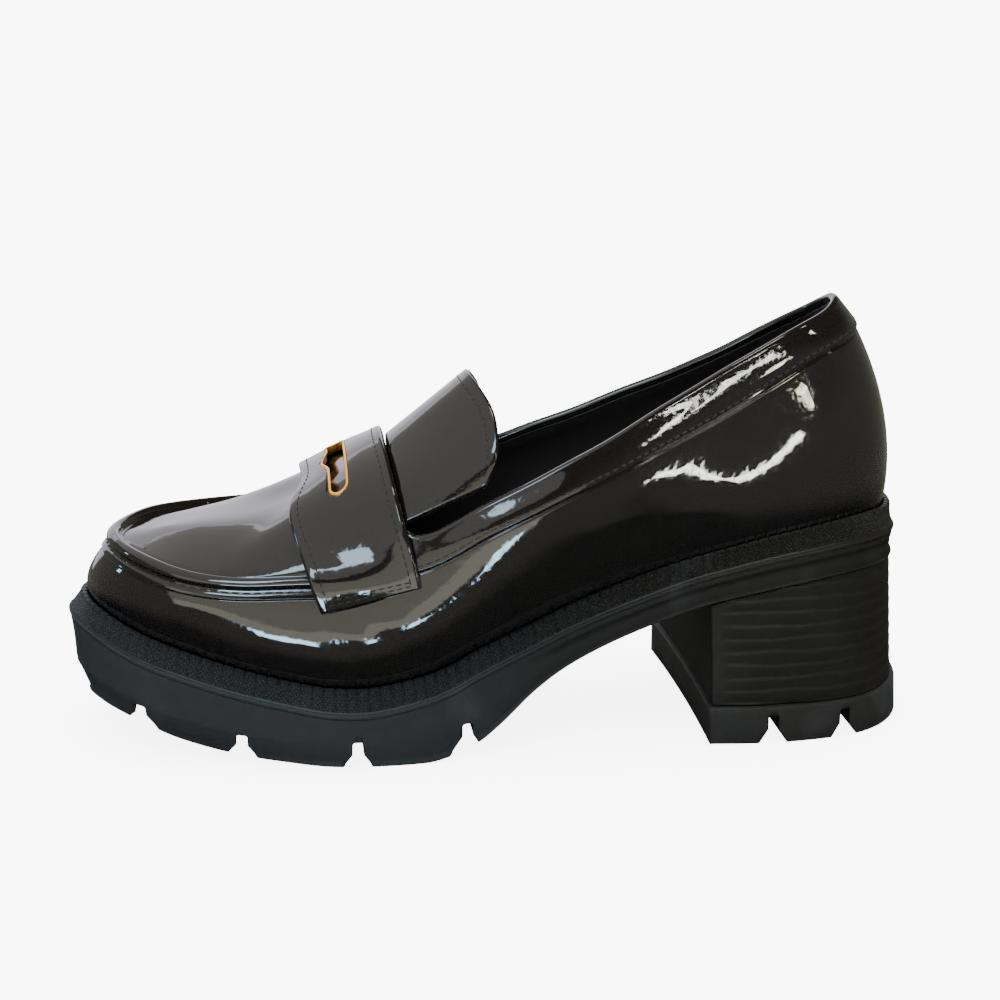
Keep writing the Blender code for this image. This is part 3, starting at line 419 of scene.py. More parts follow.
def table_value(rows, columns, name, at):
    """Smooth value of a column at a fractional row, with the end rows mirrored in along and half."""
    column = columns.index(name)
    last = len(rows) - 1

    def cell(row):
        if row < 0:
            return end_value(rows[-row][column])
        if row > last:
            return end_value(rows[2 * last - row][column])
        return rows[row][column]

    def end_value(value):
        return -value if name.endswith("half") else value

    low = min(int(at), last - 1)
    share = at - low
    a, b, c, d = (cell(low + step) for step in (-1, 0, 1, 2))
    return 0.5 * (2 * b + (c - a) * share + (2 * a - 5 * b + 4 * c - d) * share ** 2
                  + (3 * b - a - 3 * c + d) * share ** 3)


def graph_value(rows, columns, key, name, at):
    """Smooth value of a column over another column that rises from row to row."""
    keys = [row[columns.index(key)] for row in rows]
    values = [row[columns.index(name)] for row in rows]
    low = max(0, min(int(np.searchsorted(keys, at, side="right")) - 1, len(rows) - 2))

    def slope(row):
        if row in (0, len(rows) - 1):
            near = 1 if row == 0 else row - 1
            return (values[near] - values[row]) / (keys[near] - keys[row])
        before = (values[row] - values[row - 1]) / (keys[row] - keys[row - 1])
        after = (values[row + 1] - values[row]) / (keys[row + 1] - keys[row])
        return 0.0 if before * after <= 0 else 2 * before * after / (before + after)

    width = keys[low + 1] - keys[low]
    u = (at - keys[low]) / width
    return ((2 * u ** 3 - 3 * u ** 2 + 1) * values[low] + (u ** 3 - 2 * u ** 2 + u) * width * slope(low)
            + (3 * u ** 2 - 2 * u ** 3) * values[low + 1] + (u ** 3 - u ** 2) * width * slope(low + 1))


def outline_value(name, at):
    return table_value(OUTLINE, OUTLINE_COLUMNS, name, at)


def profile_value(name, along):
    return graph_value(PROFILE, PROFILE_COLUMNS, "along", name, along)


def upper_value(name, at):
    return table_value(UPPER, UPPER_COLUMNS, name, at)


def tread_height(along):
    """Height of the underside of the sole unit, at a share of LENGTH."""
    return max(0.0, profile_value("arch", along)) * HEEL_HEIGHT + profile_value("spring", along) * TOE_SPRING


def bead_height(along):
    return PLATFORM + profile_value("ramp", along) * SEAT_RISE + profile_value("lift", along) * TOE_LIFT


def rim_height(along):
    return bead_height(along) + profile_value("welt", along) * WELT_HEIGHT


def seat_height(along):
    return rim_height(along) - SEAT_DEPTH


def place(along, across, up):
    """Point of the row's frame from a length from the back of the heel, a side distance and a height."""
    return Vector((ORIGIN_ALONG - along, across, up))


def smoothstep(low, high, value):
    share = min(1.0, max(0.0, (value - low) / (high - low)))
    return share * share * (3 - 2 * share)


def bezier(points, share):
    a, b, c, d = points
    rest = 1 - share
    return a * rest ** 3 + b * (3 * rest ** 2 * share) + c * (3 * rest * share ** 2) + d * share ** 3


def outline_point(at, side):
    """Bead line in plan, as a length from the heel and a side distance."""
    return (outline_value("along", at) * LENGTH,
            outline_value("centre", at) * BALL_WIDTH + side * outline_value("half", at) * BALL_WIDTH / 2)


def outline_normal(at, side):
    """Outward normal of the bead line in plan, in lengths from the heel and side distances."""
    step = 0.02
    if at < step or at > len(OUTLINE) - 1 - step:
        return (-1.0, 0.0) if at < step else (1.0, 0.0)
    ahead, behind = outline_point(at + step, side), outline_point(at - step, side)
    run, rise = ahead[0] - behind[0], ahead[1] - behind[1]
    length = math.hypot(run, rise)
    return (-rise * side / length, run * side / length)


def inset_point(at, side, inset, up):
    """Point of the bead line moved inwards in plan. up is a height, or a function of the share of LENGTH."""
    along, across = outline_point(at, side)
    normal = outline_normal(at, side)
    along -= normal[0] * inset
    if callable(up):
        up = up(min(1.0, max(0.0, along / LENGTH)))
    return place(along, across - normal[1] * inset, up)


def breast_row():
    """Row of OUTLINE at which the sole's side meets the breast of the heel."""
    low, high = 0.0, float(len(OUTLINE) - 1)
    for _ in range(30):
        middle = (low + high) / 2
        if outline_value("along", middle) * LENGTH < BREAST:
            low = middle
        else:
            high = middle
    return low


BREAST_ROW = breast_row()


def upper_guides(at, side):
    """Foot, seam and edge points of the upper at a row, with the directions in which its wall leaves them."""
    seat = seat_height(outline_value("along", at))
    foot = inset_point(at, side, seat_inset(at) + CLEARANCE, rim_height)
    centre = UPPER_CENTRE * outline_value("centre", at) * BALL_WIDTH

    def guide(kind):
        crest = kind == "edge" and at >= CREST_ROW
        height = "outer" if crest or side == OUTER else "inner"
        half = 0.0 if crest else upper_value(kind + "_half", at)
        return place(upper_value(kind + "_along", at) * LENGTH,
                     centre + side * half * BALL_WIDTH / 2,
                     seat + upper_value(f"{kind}_{height}", at) * COLLAR_HEIGHT)

    normal = outline_normal(at, side)
    return foot, guide("seam"), guide("edge"), Vector((-normal[0], normal[1], 0))


def lean_vector(outwards, degrees):
    """Upward direction that leans outwards by an angle."""
    angle = math.radians(degrees)
    return outwards * math.sin(angle) + Vector((0, 0, math.cos(angle)))


def upper_curves(at, side):
    """Two curves of a section: from the foot to the seam, and from the seam to the edge."""
    foot, seam, edge, outwards = upper_guides(at, side)
    height = (seam - foot).length
    wall = (foot, foot + lean_vector(outwards, upper_value("foot_lean", at)) * height * FOOT_PULL,
            seam - lean_vector(-outwards, upper_value("seam_lean", at)) * height * SEAM_PULL, seam)
    inwards = edge - seam
    inwards.z = 0
    reach = (edge - seam).length
    inwards = inwards.normalized() if inwards.length > CLEARANCE else -outwards
    start = seam + lean_vector(inwards, upper_value("top_lean", at)) * reach * TOP_PULL
    crest = smoothstep(CREST_ROW - 2, CREST_ROW - 0.5, at)
    level = edge + Vector((0, (seam - edge).y * CREST_PULL, 0))
    end = edge.lerp(seam, 0.3).lerp(level, crest)
    return wall, (seam, start, end, edge)


def seat_inset(at):
    """Inset of the wall of the sunk seat."""
    return ledge_width(at) + RIM_WIDTH


def graph_point(rows, columns, key, names, at):
    return tuple(graph_value(rows, columns, key, name, at) for name in names)


# Fine detail of the leather, in millimetres across the seam. Negative is down the wall, positive is on the apron
SEAM_STEPS = (
    -5.8, -5.3, -5.05, -4.92, -4.8, -4.68, -4.5, -4.1, -3.6, -3.1, -2.8, -2.6, -2.4, -2.2, -2.08, -1.98, -1.88,
    -1.75, -1.55, -1.3, -1.0, -0.65, -0.3, -0.12, 0.02, 0.16, 0.32, 0.5, 0.75, 1.0, 1.22, 1.42, 1.58, 1.7, 1.8,
    1.9, 2.05, 2.3, 2.7, 3.2,
)
MOC_STITCH = -2.6
BAND_STITCH = 1.42

# Forms across the moc seam and the band's edge, in millimetres. Steps: where they start and end. Grooves: place,
# half width and depth. Ridge: place, half width and the power of its round
MOC_EDGE = (-4.98, -4.68)
MOC_FLAT_END = (-1.0, 0.5)
MOC_GROOVE = (MOC_STITCH, 0.45, 0.22)
MOC_RIDGE = (-0.1, 1.95, 2.6)
MOC_DIP = (2.2, 0.8, 0.35)
BAND_EDGE = (-0.14, 0.3)
BAND_GROOVE = (-0.35, 0.3, 0.25)

# Counts of fine rows and columns of the upper, and how often its sections are evened with their neighbours
WALL_ROWS = 24
LOW_ROW = 4
TOP_ROWS = 18
ROLL_ROWS = 7
UPPER_STEPS = 14
EVENING = 10

# Soft creases pressed into the leather: two ends, each a length from the heel, a side distance and a height,
# then half width and depth, all in millimetres. A negative depth is a ridge
VAMP_CREASES = (
    ((176, -36, 40), (160, -41, 30), 2.6, 0.10),
    ((168, -35, 44), (150, -40, 33), 2.2, 0.12),
    ((160, -36, 46), (143, -39, 36), 3.0, -0.08),
    ((196, -33, 38), (182, -40, 28), 3.0, 0.10),
    ((150, 38, 40), (168, 42, 30), 3.4, 0.14),
    ((168, 36, 42), (182, 41, 30), 3.0, 0.12),
    ((118, -30, 58), (96, -33, 44), 6.0, 0.12),
    ((70, -30, 84), (50, -32, 66), 7.0, 0.16),
    ((102, -35, 63), (82, -33, 69), 3.2, -0.50),
    ((74, -31, 68), (58, -30, 69), 3.0, -0.45),
    ((92, -33, 72), (80, -32, 77), 2.6, -0.30),
)
APRON_CREASES = (
    ((186, -14, 53), (184, 14, 53), 2.4, 0.22),
    ((192, -16, 47), (190, 15, 47), 2.2, -0.14),
)
STRAP_CREASES = (
    ((176, -33, 47), (166, -36, 41), 1.9, 0.34),
    ((171, -34, 49), (158, -37, 44), 1.7, 0.30),
    ((160, -35, 50), (154, -38, 42), 1.8, 0.26),
    ((168, 34, 48), (158, 37, 42), 1.9, 0.28),
)

# A crease starts at this share of its run already, and this power rounds its ends
CREASE_START, CREASE_FADE = 0.04, 0.7


def mesh_object(name, builder, material):
    """The finished piece: it rides with the shoe, and its mesh holds its place."""
    mesh = bpy.data.meshes.new(name)
    builder.normal_update()
    builder.to_mesh(mesh)
    builder.free()
    mesh.shade_smooth()
    mesh.materials.append(material)
    piece = bpy.data.objects.new(name, mesh)
    bpy.context.scene.collection.objects.link(piece)
    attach(piece, "root")
    return piece


def even_spread(column, row):
    """Unrolled place on a surface whose pattern doesn't follow it."""
    return column * UNROLLED_CELL, row * UNROLLED_CELL


def skin(columns, rows, point, spread=even_spread, drop=None):
    """Surface shaped from a flat grid. point(column, row) gives the place of a vertex, spread(column, row) its
    unrolled place, and drop(column, row) says which faces are left out."""
    builder = bmesh.new()
    unrolled = builder.loops.layers.uv.new("unrolled")
    bmesh.ops.create_grid(builder, x_segments=columns, y_segments=rows, size=1, calc_uvs=True)
    spots = {}
    for vert in builder.verts:
        spots[vert] = (round((vert.co.x + 1) / 2 * columns), round((vert.co.y + 1) / 2 * rows))
    unwanted = []
    for face in builder.faces:
        corner = tuple(min(spots[vert][axis] for vert in face.verts) for axis in (0, 1))
        if drop and drop(*corner):
            unwanted.append(face)
        for loop in face.loops:
            loop[unrolled].uv = spread(*spots[loop.vert])
    for vert, spot in spots.items():
        vert.co = point(*spot)
    bmesh.ops.delete(builder, geom=unwanted, context="FACES")
    bmesh.ops.remove_doubles(builder, verts=builder.verts, dist=MERGE)
    bmesh.ops.recalc_face_normals(builder, faces=builder.faces)
    return builder


def carve(piece, cutters):
    """Cuts the cutters out of the piece and keeps the result as its own mesh."""
    for cutter in cutters:
        modifier = piece.modifiers.new("cut", "BOOLEAN")
        modifier.solver = "EXACT"
        modifier.object = cutter
    bpy.context.view_layer.update()
    made = bpy.data.meshes.new_from_object(piece.evaluated_get(bpy.context.evaluated_depsgraph_get()))
    piece.modifiers.clear()
    piece.data = made
    for cutter in cutters:
        bpy.data.objects.remove(cutter, do_unlink=True)


def loop_stations(steps):
    """Stations once round the shoe: along the outer side from the heel to the toe, and back along the inner."""
    rows = [index / steps for index in range((len(OUTLINE) - 1) * steps + 1)]
    return [(at, OUTER) for at in rows] + [(at, INNER) for at in rows[-2:0:-1]]


def curve_shares(curve, distances):
    """Shares of a curve at which these distances from its start are reached."""
    steps = 48
    points = [bezier(curve, index / steps) for index in range(steps + 1)]
    lengths = np.concatenate([[0], np.cumsum([(b - a).length for a, b in zip(points, points[1:])])])
    return np.interp([distance(lengths[-1]) for distance in distances], lengths, np.linspace(0, 1, steps + 1))


def groove(gap, middle, width, depth):
    """Depth of a soft groove at a distance from the seam. Its own middle, width and depth are in millimetres."""
    return depth * MM * math.exp(-((gap - middle) / width) ** 2)


def moc_rise(gap):
    """Height of the moc seam over the last, at a distance from it: cut edge, stitched flat, ridge and dip."""
    flat = FLANGE_STEP * smoothstep(*MOC_EDGE, gap) * (1 - smoothstep(*MOC_FLAT_END, gap))
    crown, half, power = MOC_RIDGE
    ridge = SEAM_RISE * (1 - min(1.0, abs((gap - crown) / half)) ** power) ** 0.5
    return max(flat - groove(gap, *MOC_GROOVE), ridge) - groove(gap, *MOC_DIP)


def band_rise(gap):
    """Height of the collar band: a rounded step up from a narrow groove."""
    return BAND_STEP * smoothstep(*BAND_EDGE, gap) - groove(gap, *BAND_GROOVE)


def upper_rows(at, side):
    """Points of a fine section on the bare last, from the foot to the edge, with the rise of the leather."""
    wall, top = upper_curves(at, side)
    seam = [step for step in SEAM_STEPS if step < 0]
    apron = [step for step in SEAM_STEPS if step > 0]
    low, high = seam[0] * MM, apron[-1] * MM
    down = [lambda length, k=k: (length + low) * k / WALL_ROWS for k in range(WALL_ROWS)]
    down += [lambda length, step=step: length + step * MM for step in seam]
    up = [lambda length, step=step: step * MM for step in apron]
    up += [lambda length, k=k: high + (length - high) * k / TOP_ROWS for k in range(1, TOP_ROWS + 1)]
    foot = inset_point(at, side, seat_inset(at) + CLEARANCE, lambda along: seat_height(along) + CLEARANCE)
    points = [foot] + [bezier(wall, share) for share in curve_shares(wall, down)]
    points += [bezier(top, share) for share in curve_shares(top, up)]
    moc = smoothstep(BAND_END, MOC_START, at)
    gaps = seam + apron + [apron[-1]] * TOP_ROWS
    rises = [0.0] * (1 + WALL_ROWS) + [moc * moc_rise(gap) + (1 - moc) * band_rise(gap) for gap in gaps]
    return points, rises


def creased(points, normals, creases):
    """Points pressed in or raised along soft lines."""
    moved = np.zeros(points.shape[:-1])
    for start, end, width, depth in creases:
        a = np.array(place(*(value * MM for value in start)))
        b = np.array(place(*(value * MM for value in end)))
        run = b - a
        share = np.clip(((points - a) @ run) / (run @ run), 0, 1)
        gap = np.linalg.norm(points - (a + share[..., None] * run), axis=-1)
        ends = np.sin(np.pi * np.clip(share, CREASE_START, 1 - CREASE_START)) ** CREASE_FADE
        moved -= depth * MM * ends * np.exp(-(gap / (width * MM)) ** 2)
    return points + normals * moved[..., None]


def evened_round(points, passes):
    """Points averaged with their neighbours round the shoe, so that gloss runs on without kinks."""
    for _ in range(passes):
        points = points / 2 + (np.roll(points, 1, axis=0) + np.roll(points, -1, axis=0)) / 4
    return points


def surface_normals(points):
    """Outward normals of a grid of points that closes round the shoe."""
    across = np.roll(points, -1, axis=0) - np.roll(points, 1, axis=0)
    up = np.gradient(points, axis=1)
    normals = np.cross(across, up)
    size = np.linalg.norm(normals, axis=2, keepdims=True)
    normals /= np.maximum(size, 1e-12)
    flat = size[:, -1, 0] < 1e-12
    normals[flat, -1] = normals[flat, -2]
    centre = points[:, :, :2].mean(axis=(0, 1))
    outwards = ((points[:, LOW_ROW, :2] - centre) * normals[:, LOW_ROW, :2]).sum()
    return normals if outwards > 0 else -normals


class Leather:
    """The upper's outer skin, as arrays of points and normals by station and row."""

    def __init__(self):
        self.stations = loop_stations(UPPER_STEPS)
        sections = [upper_rows(at, side) for at, side in self.stations]
        bare = evened_round(np.array([[tuple(point) for point in points] for points, _ in sections]), EVENING)
        rises = np.array([rises for _, rises in sections])
        count = len(self.stations)
        twins = [(count - index) % count for index in range(count)]
        crest = [index for index, (at, _) in enumerate(self.stations) if at >= CREST_ROW]
        met = (bare[crest, -1] + bare[[twins[index] for index in crest], -1]) / 2
        bare[crest, -1] = met
        normals = surface_normals(bare)
        shared = normals[crest, -1] + normals[[twins[index] for index in crest], -1]
        normals[crest, -1] = shared / np.linalg.norm(shared, axis=1, keepdims=True)
        self.bare, self.normals = bare, normals
        outer = bare + normals * rises[..., None]
        self.outer = creased(outer, normals, VAMP_CREASES + APRON_CREASES)
        self.open = [at <= CREST_ROW + 1e-9 for at, _ in self.stations]
        self.first_seam = 1 + WALL_ROWS

    def row_at(self, gap):
        """Row of the skin at a distance from the seam, in millimetres."""
        return self.first_seam + min(range(len(SEAM_STEPS)), key=lambda index: abs(SEAM_STEPS[index] - gap))

    def path(self, gap, wanted, side=None):
        row = self.row_at(gap)
        return [(Vector(self.outer[index, row]), Vector(self.normals[index, row]))
                for index, (at, where) in enumerate(self.stations) if wanted(at) and side in (None, where)]


def build_upper(leather, patent):
    """Closed shell of the upper: inner skin, lasting margin, outer skin and the rolled topline."""
    stations = leather.stations
    count = len(stations)
    inner = leather.bare - leather.normals * WALL

    def margin(reach, up):
        return [inset_point(at, side, seat_inset(at) + CLEARANCE + reach,
                            lambda along: seat_height(along) + CLEARANCE + up) for at, side in stations]

    rings = [list(map(Vector, inner[:, row])) for row in range(inner.shape[1] - 1, 0, -2)]
    first_inner = rings[0]
    rings += [margin(WALL * 1.1, WALL), margin(MARGIN, WALL), margin(MARGIN, 0.0)]
    rings += [list(map(Vector, leather.outer[:, row])) for row in range(leather.outer.shape[1])]
    solid_rows = len(rings) - 1
    last_outer = rings[-1]
    for step in range(1, ROLL_ROWS):
        turn = math.pi * step / ROLL_ROWS
        ring = []
        for index, (at, _) in enumerate(stations):
            top, low = last_outer[index], first_inner[index]
            onward = Vector(leather.bare[index, -1] - leather.bare[index, -3]).normalized()
            swell = (1 - smoothstep(CREST_ROW - 1, CREST_ROW, at)) * (top - low).length / 2
            ring.append(top.lerp(low, (1 - math.cos(turn)) / 2) + onward * swell * math.sin(turn))
        rings.append(ring)
    rings.append(first_inner)
    lengths = [0.0]
    for index in range(count):
        here, after = rings[solid_rows // 2][index], rings[solid_rows // 2][(index + 1) % count]
        lengths.append(lengths[-1] + (after - here).length)

    def drop(column, row):
        return row >= solid_rows and not (leather.open[column] and leather.open[(column + 1) % count])

    builder = skin(count, len(rings) - 1, lambda column, row: rings[row][column % count],
                   lambda column, row: (lengths[column] * 10, row * 0.01), drop=drop)
    piece = mesh_object("upper_shell", builder, patent)
    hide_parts("upper")
    return piece


def build_lining(leather, cloth):
    """Lining: a closed thin skin inside the upper, from just below the rolled topline down to the footbed."""
    count = len(leather.stations)
    down = list(range(leather.bare.shape[1] - 4, 2, -2))
    rows = [(row, LINING_BACK) for row in down] + [(row, LINING_FACE) for row in down[::-1]]
    rows.append(rows[0])

    def point(column, row):
        kept, gap = rows[row]
        station = column % count
        return Vector(leather.bare[station, kept] - leather.normals[station, kept] * (WALL + gap))

    return mesh_object("quarter_lining", skin(count, len(rows) - 1, point), cloth)


def stitch_row(name, path, sizes, thread):
    """Row of stitches laid along a path of points and their normals."""
    pitch, length, thickness = (size * MM for size in sizes)
    builder = bmesh.new()
    points = [point for point, _ in path]
    lengths = [0.0]
    for a, b in zip(points, points[1:]):
        lengths.append(lengths[-1] + (b - a).length)
    count = max(1, round(lengths[-1] / pitch))
    for number in range(count):
        middle = (number + 0.5) * lengths[-1] / count
        index = int(np.searchsorted(lengths, middle)) - 1
        index = min(max(index, 0), len(points) - 2)
        share = (middle - lengths[index]) / max(1e-9, lengths[index + 1] - lengths[index])
        centre = points[index].lerp(points[index + 1], share)
        normal = path[index][1].lerp(path[index + 1][1], share).normalized()
        onward = (points[index + 1] - points[index]).normalized()
        aside = normal.cross(onward).normalized()
        normal = onward.cross(aside)
        sides = (onward * length / 2, aside * thickness / 2, normal * thickness / 2)
        basis = Matrix(sides).transposed().to_4x4()
        basis.translation = centre
        turned = basis @ Matrix.Rotation(math.pi / 2, 4, "Y")
        bmesh.ops.create_uvsphere(builder, u_segments=6, v_segments=5, radius=1, matrix=turned)
    return mesh_object(name, builder, thread)


def ledge_width(at):
    return outline_value("ledge", at) * LEDGE


def build_outsole(rubber):
    """Sole unit: tread, tucked side with its knee, two beads and the sunk seat, notched across its tread."""
    stations = loop_stations(OUTSOLE_STEPS)
    count = len(stations)

    def tuck(at):
        return outline_value("tuck", at) * TUCK

    def between(share):
        return lambda along: tread_height(along) + (bead_height(along) - tread_height(along)) * share

    def under(drop):
        return lambda along: bead_height(along) - drop

    rows = []
    for index in range(TREAD_ROWS):
        rows.append((None, 1 - index / TREAD_ROWS, tread_height))
    for step in range(4):
        turn = math.pi / 2 * step / 3
        rows.append((lambda at, turn=turn: tuck(at) + EDGE_ROUND * (1 - math.sin(turn)), 0,
                     lambda along, turn=turn: tread_height(along) + EDGE_ROUND * (1 - math.cos(turn))))
    for step in range(1, 6):
        share = step / 6
        rows.append((lambda at, share=share: BEAD_SIZE + tuck(at) * (1 + (KNEE_TUCK - 1) * share), 0,
                     between(KNEE_HEIGHT * share)))
    for tucked, height in KNEE_ROWS:
        rows.append((lambda at, tucked=tucked: BEAD_SIZE + tuck(at) * KNEE_TUCK * tucked, 0, between(height)))
    for inset, drop in SIDE_BEADS:
        rows.append((lambda at, inset=inset: inset * MM, 0, under(drop * MM)))
    rows.append((lambda at: BEAD_SIZE * 1.4, 0, lambda along: bead_height(along) + 0.2 * BEAD_SIZE))
    rows.append((lambda at: seat_inset(at) - SEAT_EASE, 0, lambda along: rim_height(along) - RIM_TUCK))
    rows.append((lambda at: seat_inset(at) - SEAT_EASE, 0, lambda along: seat_height(along) - SEAT_SINK))
    for index in range(1, 5):
        rows.append((seat_inset, index / 4, lambda along: seat_height(along) - SEAT_SINK))
    lengths = station_lengths(stations)

    def point(column, row):
        at, side = stations[column % count]
        inset, inward, up = rows[row]
        inset = (inset or rows[TREAD_ROWS][0])(at)
        return towards_middle(at, side, inset, up, inward)

    builder = skin(count, len(rows) - 1, point, lambda column, row: (lengths[column] * 10, row * 0.02))
    piece = mesh_object("sole_unit", builder, rubber)
    carve(piece, [notch_cutter(share * LENGTH, tread_height(share), NOTCH_DEPTH) for share in TREAD_NOTCHES])
    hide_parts("outsole")
    return piece


def towards_middle(at, side, inset, up, inward):
    """Point of an inset outline, moved a share of the way to the middle line of the shoe."""
    edge = inset_point(at, side, inset, up)
    if not inward:
        return edge
    along = ORIGIN_ALONG - (edge.x + inset_point(at, -side, inset, up).x) / 2
    middle = place(along, outline_value("centre", at) * BALL_WIDTH, up(min(1.0, max(0.0, along / LENGTH))))
    return edge.lerp(middle, inward)


def station_lengths(stations):
    """Length round the bead line up to each station, and once round."""
    lengths = [0.0]
    points = [Vector(outline_point(at, side)) for at, side in stations]
    for index, here in enumerate(points):
        lengths.append(lengths[-1] + (points[(index + 1) % len(points)] - here).length)
    return lengths


def build_welt(rubber):
    """Welt band on the sole unit: sloping face for the knurl, and a rim nicked crosswise all the way round."""
    fine = loop_stations(WELT_STEPS)
    lengths = station_lengths(fine)
    last = len(OUTLINE) - 1
    marks = [at if side == OUTER else 2 * last - at for at, side in fine] + [2 * last]
    nicks = round(lengths[-1] / NICK_PITCH)
    columns = []
    for number in range(nicks):
        for share, sunk in NICK_COLUMNS:
            mark = float(np.interp((number + share) / nicks * lengths[-1], lengths, marks))
            columns.append(((mark, OUTER) if mark <= last else (2 * last - mark, INNER), sunk))

    def point(column, row):
        (at, side), sunk = columns[column % len(columns)]
        inset, ledge, rim, share, rise, nick = WELT[row]
        lift = (rise - sunk * NICK_DEPTH * nick) * MM

        def height(along):
            return bead_height(along) + (rim_height(along) - bead_height(along)) * share + lift

        return inset_point(at, side, inset * MM + ledge * ledge_width(at) + rim * RIM_WIDTH, height)

    def spread(column, row):
        inset, ledge, rim = WELT[row][:3]
        return (column / len(NICK_COLUMNS) * NICK_PITCH / UNROLLED_UNIT,
                inset * UNROLLED_INSET + ledge * UNROLLED_LEDGE + rim * UNROLLED_RIM)

    return mesh_object("welt_band", skin(len(columns), len(WELT) - 1, point, spread), rubber)


def cutter_object(name, builder):
    """Closed shape that only cuts, as an object."""
    bmesh.ops.recalc_face_normals(builder, faces=builder.faces)
    mesh = bpy.data.meshes.new(name)
    builder.to_mesh(mesh)
    builder.free()
    cutter = bpy.data.objects.new(name, mesh)
    bpy.context.scene.collection.objects.link(cutter)
    return cutter


def notch_cutter(along, floor, depth):
    """Prism across the sole: a slot that flares to its mouth at the tread, its inner corners rounded."""
    builder = bmesh.new()
    bmesh.ops.create_cube(builder, size=1)
    for vert in builder.verts:
        low = vert.co.z < 0
        half = NOTCH_MOUTH / 2 + CUTTER_REACH if low else NOTCH_WIDTH / 2
        up = floor - CUTTER_REACH if low else floor + depth
        vert.co = place(along + math.copysign(half, vert.co.x), vert.co.y * 2 * BALL_WIDTH, up)
    bmesh.ops.bisect_plane(builder, geom=builder.verts[:] + builder.edges[:] + builder.faces[:],
                           plane_co=(0, 0, floor + depth / 2), plane_no=(0, 0, 1))
    for vert in builder.verts:
        if abs(vert.co.z - floor - depth / 2) < 0.01 * MM:
            run = ORIGIN_ALONG - vert.co.x - along
            vert.co.x = ORIGIN_ALONG - along - math.copysign(NOTCH_WIDTH / 2, run)
    top = floor + depth * 0.9
    cross = [edge for edge in builder.edges
             if abs(edge.verts[0].co.y - edge.verts[1].co.y) > MM and edge.verts[0].co.z > top]
    bmesh.ops.bevel(builder, geom=cross, offset=NOTCH_ROUND, affect="EDGES", segments=3, profile=0.5,
                    material=-1)
    return cutter_object("notch", builder)


def heel_columns():
    """Columns round the heel block: (row, side, None) on its sides and (None, None, share) across the breast."""
    rows = [BREAST_ROW * index / HEEL_COLUMNS for index in range(HEEL_COLUMNS + 1)]
    rows = [at for at in rows if at < BREAST_ROW - CORNER_START] + [BREAST_ROW - gap for gap in CORNER_COLUMNS]
    columns = [(at, OUTER, None) for at in rows]
    columns += [(BREAST_ROW, None, share / BREAST_COLUMNS) for share in range(1, BREAST_COLUMNS)]
    return columns + [(at, INNER, None) for at in rows[:0:-1]]


def heel_point(column, up, outset, forward_outset=0.0):
    """Place on the side of the heel at a height, as on the solid."""
    at, side, share = column
    down = 1 - up / HEEL_HEIGHT

    def edge(at, side):
        flare = HEEL_FLARE * (1 + (at / BREAST_ROW) ** 2) * down
        return inset_point(at, side, EDGE_ROUND - flare - outset, up) + Vector((HEEL_LEAN * down, 0, 0))

    ahead = Vector((-forward_outset, 0, 0))
    if share is None:
        return edge(at, side) + (ahead if at == BREAST_ROW else Vector())
    start, end = edge(BREAST_ROW, OUTER) + ahead, edge(BREAST_ROW, INNER) + ahead
    return start.lerp(end, share) + Vector((BREAST_HOLLOW * 4 * share * (1 - share), 0, 0))


def build_heel(rubber):
    """Stacked heel under the sole unit: uneven rounded layers round its sides and back, plain by the breast."""
    columns = heel_columns()
    count = len(columns)
    levels = [LIFT_THICKNESS + CLEARANCE + (HEEL_HEIGHT + RIB_PITCH) * index / HEEL_ROWS
              for index in range(HEEL_ROWS + 1)]

    def layered(column, up):
        at, side, share = column
        if share is not None or at > BREAST_ROW - LAYERS_END:
            return 0.0
        strength = RIB_SHOWN * (RIB_BACK + (1 - RIB_BACK) * smoothstep(0.1, 0.6, at / BREAST_ROW))
        wander = LAYER_WAVES[0] * math.sin(at * 2.3 + 1.3 * (side + up * 400))
        wander += LAYER_WAVES[1] * math.sin(at * 5.1 + up * 900)
        phase = ((up + wander - LIFT_THICKNESS - CLEARANCE) / RIB_PITCH) % 1.0
        border = smoothstep(BREAST_ROW - LAYERS_END, BREAST_ROW - LAYERS_FULL, at)
        return RIB_DEPTH * strength * border * smoothstep(0.0, 0.1, phase) * (1 - phase) ** 1.5

    def point(number, row):
        column = columns[number % count]
        up = levels[row]
        top_along = (ORIGIN_ALONG - heel_point(column, up, 0.0).x) / LENGTH
        ceiling = tread_height(min(1.0, max(0.0, top_along))) - CLEARANCE * 0.5
        up = min(up, ceiling)
        return heel_point(column, up, -layered(column, up))

    builder = skin(count, HEEL_ROWS, point)
    close_holes(builder)
    piece = mesh_object("stacked_heel", builder, rubber)
    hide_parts("heel_block")
    return piece


def close_holes(builder):
    rims = [edge for edge in builder.edges if edge.is_boundary]
    bmesh.ops.holes_fill(builder, edges=rims, sides=0)
    bmesh.ops.recalc_face_normals(builder, faces=builder.faces)


def build_top_lift(rubber):
    """Top lift: a smooth plate round the foot of the heel, notched through twice."""
    columns = heel_columns()

    def point(number, row):
        up, outset = LIFT_SIDE[row]
        reach = LIFT_EDGE + outset * MM
        return heel_point(columns[number % len(columns)], up * MM, reach, reach)

    builder = skin(len(columns), len(LIFT_SIDE) - 1, point)
    close_holes(builder)
    piece = mesh_object("heel_lift", builder, rubber)
    carve(piece, [notch_cutter(share * LENGTH, 0.0, LIFT_NOTCH_DEPTH) for share in LIFT_NOTCHES])
    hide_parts("top_lift")
    return piece


